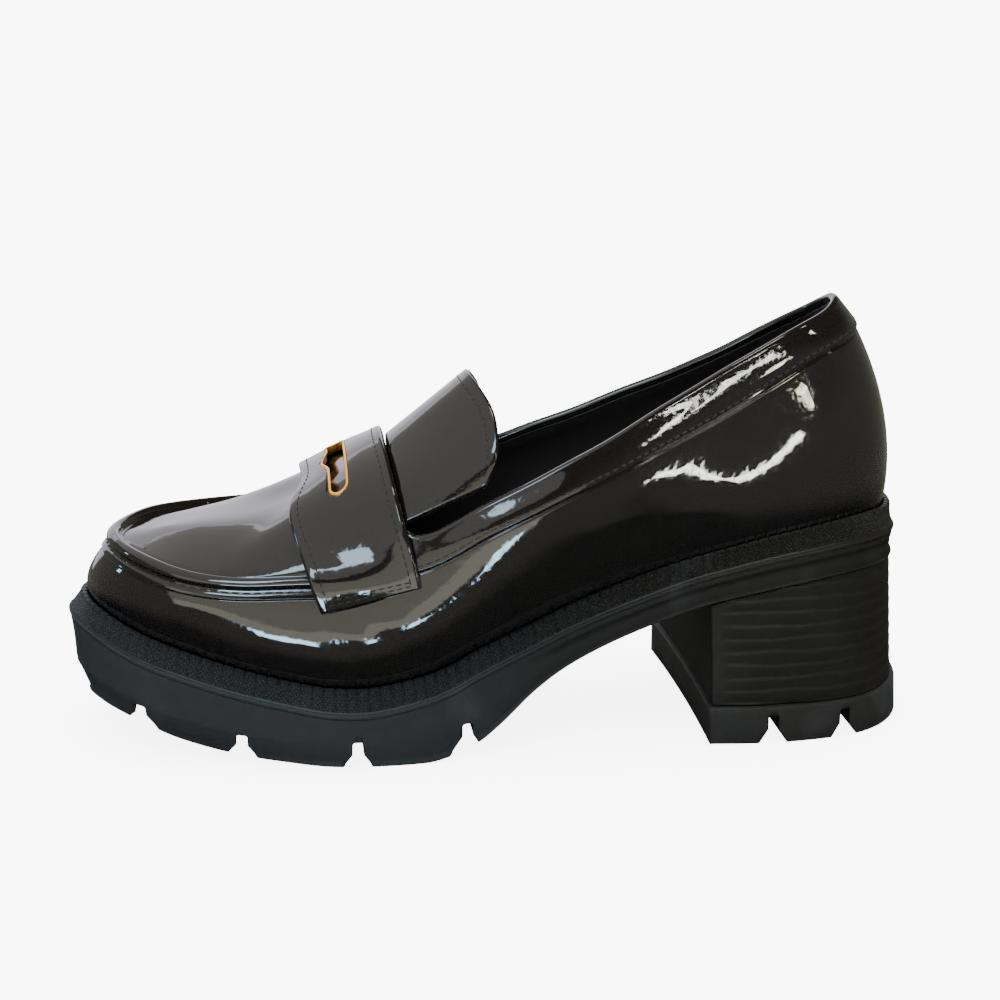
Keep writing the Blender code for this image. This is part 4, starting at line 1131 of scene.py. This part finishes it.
def smooth_resample(points, count):
    """Finer rows between rows of points, on a smooth curve through them."""
    points = np.asarray(points)
    last = len(points) - 1
    padded = np.concatenate([[2 * points[0] - points[1]], points, [2 * points[-1] - points[-2]]])
    made = []
    for number in range(count + 1):
        at = number * last / count
        low = min(int(at), last - 1)
        u = at - low
        a, b, c, d = padded[low:low + 4]
        made.append(0.5 * (2 * b + (c - a) * u + (2 * a - 5 * b + 4 * c - d) * u ** 2
                           + (3 * b - a - 3 * c + d) * u ** 3))
    return np.array(made)


def strap_surface(leather):
    """Face of the strap over the foot, as fine rows of points and outward normals, front edge first."""
    count, rows = leather.bare.shape[:2]
    keep = list(range(0, rows, 2))
    points = [Vector(leather.outer[index, row]) for index in range(count) for row in keep]
    width = len(keep)
    faces = [(index * width + row, (index + 1) % count * width + row,
              (index + 1) % count * width + row + 1, index * width + row + 1)
             for index in range(count) for row in range(width - 1)]
    tree = BVHTree.FromPolygons(points, faces)
    numbered = [(row, *cells) for row, cells in enumerate(STRAP)]
    found = []
    for index in range(STRAP_STEPS + 1):
        at = index * (len(STRAP) - 1) / STRAP_STEPS
        front_turn, back_turn, front, back, rise = graph_point(numbered, ("row", *STRAP_COLUMNS), "row",
                                                               STRAP_COLUMNS, at)
        row = []
        for share in STRAP_SHARES:
            angle = math.radians(front_turn + (back_turn - front_turn) * share)
            axis = place((front + (back - front) * share) * LENGTH, 0.0, STRAP_AXIS)
            out = Vector((0, math.sin(angle), math.cos(angle)))
            hit = tree.ray_cast(axis + out * BALL_WIDTH, -out)[0]
            row.append((hit + out * rise * STRAP_RISE * share, out))
        (before, _), (last, out) = row[-2:]
        row.append((last + (last - before) * STRAP_OVERHANG, out))
        found.append(row)
    outs = np.array([[tuple(out) for _, out in row] for row in found])
    places = np.array([[tuple(point) for point, _ in row] for row in found])
    axis = np.array([0, 0, STRAP_AXIS])
    for _ in range(STRAP_EVENING):
        reach = np.linalg.norm((places - axis)[..., 1:], axis=2)
        lack = (reach[:-2] + reach[2:]) / 2 - reach[1:-1]
        places[1:-1] += outs[1:-1] * np.maximum(0, lack)[..., None]
    for _ in range(STRAP_SOFTENING):
        places[1:-1] = places[1:-1] / 2 + (places[:-2] + places[2:]) / 4
    fine = smooth_resample(places, STRAP_FINE)
    fine = smooth_resample(fine.transpose(1, 0, 2), STRAP_ACROSS).transpose(1, 0, 2)
    along = np.gradient(fine, axis=0)
    across = np.gradient(fine, axis=1)
    normals = np.cross(along, across)
    normals /= np.linalg.norm(normals, axis=2, keepdims=True)
    if normals[STRAP_FINE // 2, STRAP_ACROSS // 2, 2] < 0:
        normals = -normals
    return fine, normals


def flat_band(name, face, normals, low, high, material, creases=()):
    """Closed band of leather over rows of points, with its face at high, its back at low and its edges round."""
    steps, across = face.shape[0] - 1, face.shape[1] - 1
    top = creased(face + normals * high, normals, creases)
    loop = []
    for row in range(across + 1):
        loop.append((row, 1.0))
    for turn in range(1, EDGE_TURNS):
        loop.append((across, math.cos(math.pi * turn / EDGE_TURNS) / 2 + 0.5))
    for row in range(across, -1, -2):
        loop.append((row, 0.0))
    for turn in range(1, EDGE_TURNS):
        loop.append((0, 0.5 - math.cos(math.pi * turn / EDGE_TURNS) / 2))
    loop.append(loop[0])
    half = (high - low) / 2
    low_face = face + normals * low
    aside = np.gradient(face, axis=1)
    aside /= np.linalg.norm(aside, axis=2, keepdims=True)

    def point(column, row):
        across_row, share = loop[row]
        base = low_face[column, across_row] * (1 - share) + top[column, across_row] * share
        if across_row in (0, across):
            bulge = half * math.sqrt(max(0.0, 1 - (2 * share - 1) ** 2))
            base = base + aside[column, across_row] * (bulge if across_row else -bulge)
        return Vector(base)

    builder = skin(steps, len(loop) - 1, point)
    close_holes(builder)
    return mesh_object(name, builder, material), top


def slot_outline(grow, turns=16, straight=24):
    """Slot in plan, round-ended across the strap, with a low peak in the middle of its front edge."""
    half, reach = SLOT_WIDTH / 2 + grow, SLOT_LENGTH / 2 - SLOT_WIDTH / 2
    centre = SLOT_PLACE * LENGTH
    points = []
    for side in (INNER, OUTER):
        for step in range(turns + 1):
            angle = math.pi * step / turns
            points.append((centre - side * half * math.cos(angle), side * (reach + half * math.sin(angle))))
        for step in range(1, straight):
            across = side * reach * (1 - 2 * step / straight)
            peak = SLOT_PEAK * smoothstep(SLOT_PEAK_WIDTH / 2, 0, abs(across)) if side == INNER else 0.0
            points.append((centre + side * half + peak, across))
    return points


def build_strap(leather, patent):
    face, normals = strap_surface(leather)
    piece, top = flat_band("saddle_band", face, normals, STRAP_LIFT, STRAP_LIFT + STRAP_THICKNESS, patent,
                           STRAP_CREASES)
    builder = bmesh.new()
    outline = [builder.verts.new(place(along, across, STRAP_AXIS)) for along, across in slot_outline(0.0)]
    face_made = builder.faces.new(outline)
    moved = bmesh.ops.extrude_face_region(builder, geom=[face_made])
    verts = [item for item in moved["geom"] if isinstance(item, bmesh.types.BMVert)]
    bmesh.ops.translate(builder, verts=verts, vec=(0, 0, COLLAR_HEIGHT))
    carve(piece, [cutter_object("slot", builder)])
    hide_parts("saddle_strap")
    return top, normals


def build_slot_rim(top, metal):
    """Metal rim of the slot: a rounded bead on the face of the strap, and a thin wall down into the slot."""
    steps, across = top.shape[0] - 1, top.shape[1] - 1
    corners = ((0, 0), (0, 1), (1, 1), (1, 0))
    faces = [[(i + down) * (across + 1) + j + right for down, right in corners]
             for i in range(steps) for j in range(across)]
    tree = BVHTree.FromPolygons([Vector(point) for row in top for point in row], faces)
    turns = [math.pi * step / RIM_BEAD_STEPS for step in range(RIM_BEAD_STEPS + 1)]
    profile = [(RIM_WALL, -RIM_DEPTH), (RIM_WALL, -RIM_NECK)]
    profile += [(RIM_BEAD_OUT + RIM_BEAD * math.cos(turn), RIM_BEAD_UP + RIM_BEAD * math.sin(turn))
                for turn in turns]
    profile += [(-RIM_WALL, -RIM_NECK), (-RIM_WALL, -RIM_DEPTH), (RIM_WALL, -RIM_DEPTH)]
    rings = []
    for outset, up in profile:
        ring = []
        for along, side in slot_outline(-RIM_INSET * MM + outset * MM):
            hit = tree.ray_cast(place(along, side, STRAP_AXIS + COLLAR_HEIGHT), Vector((0, 0, -1)))[0]
            ring.append(hit + Vector((0, 0, up * MM)))
        rings.append(ring)
    count = len(rings[0])
    builder = skin(count, len(rings) - 1, lambda column, row: rings[row][column % count])
    piece = mesh_object("slot_rim", builder, metal)
    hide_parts("slot_frame")
    return piece


def build_tongue(patent):
    """Arched tongue from the throat back to its free edge, its corners rounded and its edges rolled."""

    def edge(kind, signed):
        share = abs(signed)
        along, half, up = graph_point(TONGUE, TONGUE_COLUMNS, "across",
                                      (kind + "_along", kind + "_half", kind + "_up"), share)
        return place(along * LENGTH, math.copysign(half, signed) * BALL_WIDTH / 2, PLATFORM + up * COLLAR_HEIGHT)

    shares = [index / TONGUE_FINE * 2 - 1 for index in range(TONGUE_FINE + 1)]
    roots = [edge("root", share) for share in shares]
    tips = [edge("tip", share) for share in shares]
    points = np.array([[tuple(root.lerp(tip, row / TONGUE_ROWS)) for row in range(TONGUE_ROWS + 1)]
                       for root, tip in zip(roots, tips)])
    for _ in range(TONGUE_EVENING):
        points[1:-1] = points[1:-1] / 2 + (points[:-2] + points[2:]) / 4
    normals = np.cross(np.gradient(points, axis=0), np.gradient(points, axis=1))
    normals /= np.linalg.norm(normals, axis=2, keepdims=True)
    if normals[TONGUE_FINE // 2, TONGUE_ROWS // 2, 2] < 0:
        normals = -normals
    piece, top = flat_band("tongue_flap", points, normals, -TONGUE_THICKNESS, 0.0, patent)
    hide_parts("tongue")
    return top, normals


def build_sock(cloth):
    """Footbed sock, its edge rounded over."""
    stations = loop_stations(SOCK_STEPS)
    base = CLEARANCE * 3 + WALL

    def point(column, row):
        at, side = stations[column % len(stations)]
        inset, inward, share, rise = SOCK[row]
        lift = base + share * INSOLE_THICKNESS + rise * MM
        return towards_middle(at, side, seat_inset(at) + WALL + CLEARANCE * 5 + inset * MM,
                              lambda along: seat_height(along) + lift, inward)

    builder = skin(len(stations), len(SOCK) - 1, point)
    piece = mesh_object("footbed_sock", builder, cloth)
    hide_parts("insole")
    return piece


def group_of(name, inputs, outputs):
    """Empty shader group with named float inputs and outputs, and its two end nodes."""
    group = bpy.data.node_groups.new(name, "ShaderNodeTree")
    for label, value in inputs.items():
        group.interface.new_socket(label, in_out="INPUT", socket_type="NodeSocketFloat").default_value = value
    for label in outputs:
        group.interface.new_socket(label, in_out="OUTPUT", socket_type="NodeSocketFloat")
    return group, group.nodes.new("NodeGroupInput"), group.nodes.new("NodeGroupOutput")


def math_node(nodes, operation, *values):
    node = nodes.new("ShaderNodeMath")
    node.operation = operation
    for socket, value in zip(node.inputs, values):
        if isinstance(value, (int, float)):
            socket.default_value = value
        else:
            node.id_data.links.new(value, socket)
    return node.outputs[0]


def object_noises(group, start, *kinds):
    """Noise over Object coordinates for each scale input and its detail."""
    places = group.nodes.new("ShaderNodeTexCoord").outputs["Object"]
    made = []
    for label, detail in kinds:
        texture = group.nodes.new("ShaderNodeTexNoise")
        group.links.new(places, texture.inputs["Vector"])
        group.links.new(start.outputs[label], texture.inputs["Scale"])
        texture.inputs["Detail"].default_value = detail
        made.append(texture.outputs["Fac"])
    return made


def gloss_ripple_group():
    """Height of a lacquered skin: fine orange peel over a slow swell."""
    inputs = {"Peel Scale": 420.0, "Swell Scale": 60.0, "Swell": 2.0}
    group, start, end = group_of("gloss_ripple", inputs, ["Height"])
    peel, swell = object_noises(group, start, ("Peel Scale", 1.0), ("Swell Scale", 1.0))
    slow = math_node(group.nodes, "MULTIPLY", swell, start.outputs["Swell"])
    group.links.new(math_node(group.nodes, "ADD", peel, slow), end.inputs["Height"])
    return group


def rubber_grain_group():
    """Moulded rubber: fine grain height, and a mask of rubbed and dusty patches."""
    inputs = {"Grain Scale": 900.0, "Wear Scale": 45.0}
    group, start, end = group_of("rubber_grain", inputs, ["Height", "Wear"])
    grain, wear = object_noises(group, start, ("Grain Scale", 2.0), ("Wear Scale", 5.0))
    group.links.new(grain, end.inputs["Height"])
    patches = group.nodes.new("ShaderNodeMapRange")
    patches.interpolation_type = "SMOOTHSTEP"
    patches.inputs["From Min"].default_value = RUBBED_FROM
    patches.inputs["From Max"].default_value = RUBBED_FULL
    group.links.new(wear, patches.inputs["Value"])
    group.links.new(patches.outputs["Result"], end.inputs["Wear"])
    return group


def new_material(name, colour, roughness, metallic=0.0, coat=0.0, coat_roughness=0.03):
    material = bpy.data.materials.new(name)
    material.use_nodes = True
    shader = material.node_tree.nodes["Principled BSDF"]
    shader.inputs["Base Color"].default_value = (*colour, 1.0)
    shader.inputs["Roughness"].default_value = roughness
    shader.inputs["Metallic"].default_value = metallic
    shader.inputs["Coat Weight"].default_value = coat
    shader.inputs["Coat Roughness"].default_value = coat_roughness
    return material, shader


def group_node(material, group, **values):
    node = material.node_tree.nodes.new("ShaderNodeGroup")
    node.node_tree = group
    for label, value in values.items():
        node.inputs[label.replace("_", " ")].default_value = value
    return node


def bump(material, shader, height, distance):
    node = material.node_tree.nodes.new("ShaderNodeBump")
    node.inputs["Distance"].default_value = distance
    material.node_tree.links.new(height, node.inputs["Height"])
    material.node_tree.links.new(node.outputs["Normal"], shader.inputs["Normal"])


def patent_leather(name, group, swell):
    material, shader = new_material(name, PATENT_BLACK, roughness=0.06, coat=1.0, coat_roughness=0.015)
    bump(material, shader, group_node(material, group, Swell=swell).outputs["Height"], PATENT_RELIEF)
    return material


def rubber_colour(material, shader, wear, colour, heel_colour, dusty):
    """Colour of the rubber: bluish at the forefoot with painted cool light, warmer towards the heel, and greyer
    where it is rubbed.
    """
    nodes, links = material.node_tree.nodes, material.node_tree.links
    places = nodes.new("ShaderNodeTexCoord").outputs["Object"]
    split = nodes.new("ShaderNodeSeparateXYZ")
    links.new(places, split.inputs[0])
    back = nodes.new("ShaderNodeMapRange")
    back.inputs["From Min"].default_value = FOREFOOT_END
    back.inputs["From Max"].default_value = HEEL_START
    links.new(split.outputs["X"], back.inputs["Value"])
    tone, rubbed = nodes.new("ShaderNodeMix"), nodes.new("ShaderNodeMix")
    tone.data_type = rubbed.data_type = "RGBA"
    tone.inputs["A"].default_value = (*colour, 1.0)
    tone.inputs["B"].default_value = (*heel_colour, 1.0)
    links.new(back.outputs["Result"], tone.inputs["Factor"])
    links.new(tone.outputs["Result"], rubbed.inputs["A"])
    rubbed.inputs["B"].default_value = (*dusty, 1.0)
    links.new(wear, rubbed.inputs["Factor"])
    links.new(rubbed.outputs["Result"], shader.inputs["Base Color"])


def moulded_rubber(name, group, roughness, *colours):
    material, shader = new_material(name, colours[0], roughness)
    shader.inputs["Specular IOR Level"].default_value = 0.3
    grain = group_node(material, group)
    bump(material, shader, grain.outputs["Height"], GRAIN_RELIEF)
    rubber_colour(material, shader, grain.outputs["Wear"], *colours)
    return material


def knurled_rubber(name, group, *colours):
    """Welt rubber: a fine diamond knurl that follows the band, over the moulded grain."""
    material, shader = new_material(name, colours[0], roughness=0.45)
    shader.inputs["Specular IOR Level"].default_value = 0.5
    nodes, links = material.node_tree.nodes, material.node_tree.links
    unrolled = nodes.new("ShaderNodeUVMap")
    unrolled.uv_map = "unrolled"
    split = nodes.new("ShaderNodeSeparateXYZ")
    links.new(unrolled.outputs["UV"], split.inputs[0])
    across, up = (math_node(nodes, "MULTIPLY", split.outputs[axis], KNURL) for axis in "XY")
    waves = [math_node(nodes, "SINE", math_node(nodes, turn, across, up)) for turn in ("ADD", "SUBTRACT")]
    diamonds = math_node(nodes, "MINIMUM", *(math_node(nodes, "ABSOLUTE", wave) for wave in waves))
    inside = math_node(nodes, "MULTIPLY", math_node(nodes, "GREATER_THAN", split.outputs["Y"], KNURL_SPAN[0]),
                       math_node(nodes, "LESS_THAN", split.outputs["Y"], KNURL_SPAN[1]))
    grain = group_node(material, group)
    fine = math_node(nodes, "MULTIPLY", grain.outputs["Height"], GRAIN_ON_KNURL)
    bump(material, shader, math_node(nodes, "MULTIPLY_ADD", diamonds, inside, fine), KNURL_RELIEF)
    rubber_colour(material, shader, grain.outputs["Wear"], *colours)
    return material


def brushed_lining(name, colour, roughness):
    material, shader = new_material(name, colour, roughness)
    shader.inputs["Sheen Weight"].default_value = 0.25
    return material


def light_panel(stand, name, azimuth, elevation, wide, tall, strength, colour, turn):
    """Panel of light that only gloss shows, its place and size in degrees. Azimuth 0 is the outer side, 90 the
    heel."""
    centre, distance = stand
    a, e = math.radians(azimuth), math.radians(elevation)
    away = Vector((math.sin(a) * math.cos(e), -math.cos(a) * math.cos(e), math.sin(e)))
    data = bpy.data.lights.new(name, "AREA")
    data.shape = "RECTANGLE"
    data.size, data.size_y = (2 * distance * math.tan(math.radians(angle / 2)) for angle in (wide, tall))
    data.energy = strength * math.pi * data.size * data.size_y
    data.color = colour
    lamp = bpy.data.objects.new(name, data)
    lamp.visible_diffuse = lamp.visible_camera = False
    basis = away.to_track_quat("Z", "Y").to_matrix() @ Matrix.Rotation(math.radians(turn), 3, "Z")
    lamp.matrix_world = Matrix.Translation(centre + away * distance) @ basis.to_4x4()
    bpy.context.scene.collection.objects.link(lamp)


def build_camera():
    """Camera of the photograph, turned so that what it aims at falls beside the picture's centre."""
    turn, rise, roll = (math.radians(angle) for angle in CAMERA_ANGLES)
    back = Vector((math.sin(turn) * math.cos(rise), -math.cos(turn) * math.cos(rise), math.sin(rise)))
    right = (-back).cross(Vector((0, 0, 1))).normalized()
    up = right.cross(-back)
    right, up = math.cos(roll) * right + math.sin(roll) * up, math.cos(roll) * up - math.sin(roll) * right
    aside, below = (CAMERA_AIM[0] - PICTURE / 2) / CAMERA_FOCUS, (PICTURE / 2 - CAMERA_AIM[1]) / CAMERA_FOCUS
    yaw = math.atan(aside)
    ahead = math.cos(yaw) * -back - math.sin(yaw) * right
    right = math.cos(yaw) * right + math.sin(yaw) * -back
    pitch = math.atan(below * math.cos(yaw))
    ahead, up = math.cos(pitch) * ahead - math.sin(pitch) * up, math.cos(pitch) * up + math.sin(pitch) * ahead
    data = bpy.data.cameras.new("camera")
    data.sensor_width = SENSOR
    data.lens = SENSOR * CAMERA_FOCUS / PICTURE
    camera = bpy.data.objects.new("camera", data)
    basis = Matrix((right, up, -ahead)).transposed().to_4x4()
    basis.translation = Vector(CAMERA_TARGET) * MM + back * CAMERA_DISTANCE * MM
    camera.matrix_world = basis
    bpy.context.scene.collection.objects.link(camera)
    bpy.context.scene.camera = camera


def build_floor():
    """Pale sheet: flat under the shoe and swept up far behind it. It glows a little, more so for the camera, and
    gloss doesn't mirror it."""
    builder = bmesh.new()
    bmesh.ops.create_grid(builder, x_segments=1, y_segments=SHEET_ROWS, size=1)
    for vert in builder.verts:
        along = (vert.co.y + 1) / 2
        flat = min(along / SHEET_FLAT_ROWS, 1.0)
        turn = max(0.0, along - SHEET_FLAT_ROWS) / (1 - SHEET_FLAT_ROWS) * math.pi / 2
        vert.co = (vert.co.x * SHEET_HALF, SHEET_EDGE + SHEET_RUN * flat + SHEET_SWEEP * math.sin(turn),
                   SHEET_SWEEP * (1 - math.cos(turn)))
    mesh = bpy.data.meshes.new("floor")
    builder.to_mesh(mesh)
    builder.free()
    mesh.shade_smooth()
    material, shader = new_material("pale_floor", SHEET_COLOUR, roughness=0.9)
    shader.inputs["Emission Color"].default_value = WHITE
    nodes = material.node_tree.nodes
    seen = nodes.new("ShaderNodeLightPath").outputs["Is Camera Ray"]
    glow = math_node(nodes, "MULTIPLY_ADD", seen, CAMERA_GLOW, SHEET_GLOW)
    material.node_tree.links.new(glow, shader.inputs["Emission Strength"])
    mesh.materials.append(material)
    floor = bpy.data.objects.new("floor", mesh)
    floor.visible_glossy = False
    bpy.context.scene.collection.objects.link(floor)


def build_sky():
    """Dim room that the gloss mirrors: black underfoot, grey round the shoe and brown overhead. The camera sees
    a plain white backdrop instead."""
    world = bpy.data.worlds.new("studio")
    world.use_nodes = True
    nodes, links = world.node_tree.nodes, world.node_tree.links
    way = nodes.new("ShaderNodeTexCoord")
    split = nodes.new("ShaderNodeSeparateXYZ")
    ramp = nodes.new("ShaderNodeValToRGB")
    links.new(way.outputs["Generated"], split.inputs[0])
    links.new(math_node(nodes, "MULTIPLY_ADD", split.outputs["Z"], 0.5, 0.5), ramp.inputs["Fac"])
    links.new(ramp.outputs["Color"], nodes["Background"].inputs["Color"])
    backdrop = nodes.new("ShaderNodeBackground")
    backdrop.inputs["Color"].default_value, backdrop.inputs["Strength"].default_value = WHITE, BACKDROP
    mixed = nodes.new("ShaderNodeMixShader")
    links.new(nodes.new("ShaderNodeLightPath").outputs["Is Camera Ray"], mixed.inputs["Fac"])
    links.new(nodes["Background"].outputs["Background"], mixed.inputs[1])
    links.new(backdrop.outputs["Background"], mixed.inputs[2])
    links.new(mixed.outputs["Shader"], nodes["World Output"].inputs["Surface"])
    stops = ramp.color_ramp.elements
    stops[0].position, stops[0].color = SKY[0][0], (*SKY[0][1], 1.0)
    stops[1].position, stops[1].color = SKY[-1][0], (*SKY[-1][1], 1.0)
    for height, colour in SKY[1:-1]:
        stops.new(height).color = (*colour, 1.0)
    bpy.context.scene.world = world


def build_light():
    build_sky()
    for panel in PANELS:
        light_panel(FAR, *panel)
    light_panel(NEAR, *COUNTER_STRIP)
    sun = bpy.data.lights.new("overhead", "SUN")
    sun.energy = SUN
    sun.angle = math.radians(SUN_SPREAD)
    lamp = bpy.data.objects.new("overhead", sun)
    lamp.visible_glossy = False
    bpy.context.scene.collection.objects.link(lamp)


def main():
    ripple, grain = gloss_ripple_group(), rubber_grain_group()
    patent = patent_leather("black_patent", ripple, 3.0)
    strap_patent = patent_leather("strap_patent", ripple, 2.0)
    # Each rubber's forefoot colour carries painted cool side light
    sole_rubber = moulded_rubber("sole_rubber", grain, 0.6, SOLE_COOL_LIGHT, SOLE_WARM, SOLE_DUST)
    heel_rubber = moulded_rubber("heel_rubber", grain, 0.55, SOLE_COOL_LIGHT, HEEL_WARM, HEEL_DUST)
    lift_rubber = moulded_rubber("lift_rubber", grain, 0.6, LIFT_COLOUR, LIFT_COLOUR, SOLE_DUST)
    welt_rubber = knurled_rubber("welt_rubber", grain, SOLE_COOL_LIGHT, SOLE_WARM, SOLE_DUST)
    gold, _ = new_material("gold_metal", ORANGE_GOLD, roughness=0.25, metallic=0.6)
    cloth = brushed_lining("black_lining", LINING_BLACK, 0.45)
    thread, _ = new_material("black_thread", THREAD_BLACK, roughness=0.45)

    leather = Leather()
    build_upper(leather, patent)
    build_lining(leather, cloth)
    build_outsole(sole_rubber)
    build_welt(welt_rubber)
    build_heel(heel_rubber)
    build_top_lift(lift_rubber)
    strap, strap_normals = build_strap(leather, strap_patent)
    build_slot_rim(strap, gold)
    tongue, tongue_normals = build_tongue(patent)
    build_sock(cloth)

    half = leather.path(MOC_STITCH, lambda at: at > MOC_START + 0.2, OUTER)
    other = leather.path(MOC_STITCH, lambda at: MOC_START + 0.2 < at < len(OUTLINE) - 1, INNER)
    stitch_row("moc_stitches", half + other, MOC_THREAD, thread)
    band_outer = leather.path(BAND_STITCH, lambda at: at < BAND_END, OUTER)
    band_inner = leather.path(BAND_STITCH, lambda at: 0 < at < BAND_END, INNER)
    stitch_row("band_stitches", band_inner + band_outer, BAND_THREAD, thread)
    strap_stitches(strap, strap_normals, thread)
    tongue_stitches(tongue, tongue_normals, thread)

    build_camera()
    build_floor()
    build_light()


def band_path(top, normals, cells):
    """Path over a band through fractional (column, row) cells."""
    path = []
    for column, row in cells:
        i, j = int(column), int(row)
        i, j = min(i, top.shape[0] - 2), min(j, top.shape[1] - 2)
        u, v = column - i, row - j
        point = (top[i, j] * (1 - u) * (1 - v) + top[i + 1, j] * u * (1 - v)
                 + top[i, j + 1] * (1 - u) * v + top[i + 1, j + 1] * u * v)
        path.append((Vector(point), Vector(normals[i, j])))
    return path


def strap_stitches(top, normals, thread):
    """Rows along both long edges of the strap, and two across each end."""
    steps, across = top.shape[0] - 1, top.shape[1] - 1
    width = np.linalg.norm(top[:, -1] - top[:, 0], axis=1)
    run = np.linalg.norm(np.diff(top[:, across // 2], axis=0), axis=1).mean()
    end = round(STRAP_END_GAPS[0] * MM / run)
    columns = range(end, steps - end + 1)
    rows = {"front": [(column, across * STRAP_FRONT_GAP * MM / width[column]) for column in columns],
            "rear": [(column, across * (1 - STRAP_REAR_GAP * MM / width[column])) for column in columns]}
    cells = [across * (STRAP_END_START + STRAP_END_RUN * step / STRAP_END_STEPS)
             for step in range(STRAP_END_STEPS + 1)]
    for name, first, onward in (("outer", 0, 1), ("inner", steps, -1)):
        for number, gap in enumerate(STRAP_END_GAPS):
            column = first + onward * gap * MM / run
            rows[f"{name}_{number + 1}"] = [(column, cell) for cell in cells]
    for name, path in rows.items():
        stitch_row(f"strap_stitches_{name}", band_path(top, normals, path), STRAP_THREAD, thread)


def tongue_stitches(top, normals, thread):
    """One row down a side of the tongue, along its free edge and up its other side."""
    steps, rows = top.shape[0] - 1, top.shape[1] - 1
    length = np.linalg.norm(top[:, -1] - top[:, 0], axis=1)
    run = np.linalg.norm(np.diff(top[:, rows], axis=0), axis=1).mean()
    side = TONGUE_GAP * MM / run
    cells = [(side, rows * share) for share in TONGUE_SIDE_SHARES]
    columns = range(round(side) + 1, steps - round(side))
    cells += [(column, rows * (1 - TONGUE_GAP * MM / length[column])) for column in columns]
    cells += [(steps - side, rows * share) for share in TONGUE_SIDE_SHARES[::-1]]
    stitch_row("tongue_stitches", band_path(top, normals, cells), STRAP_THREAD, thread)


main()
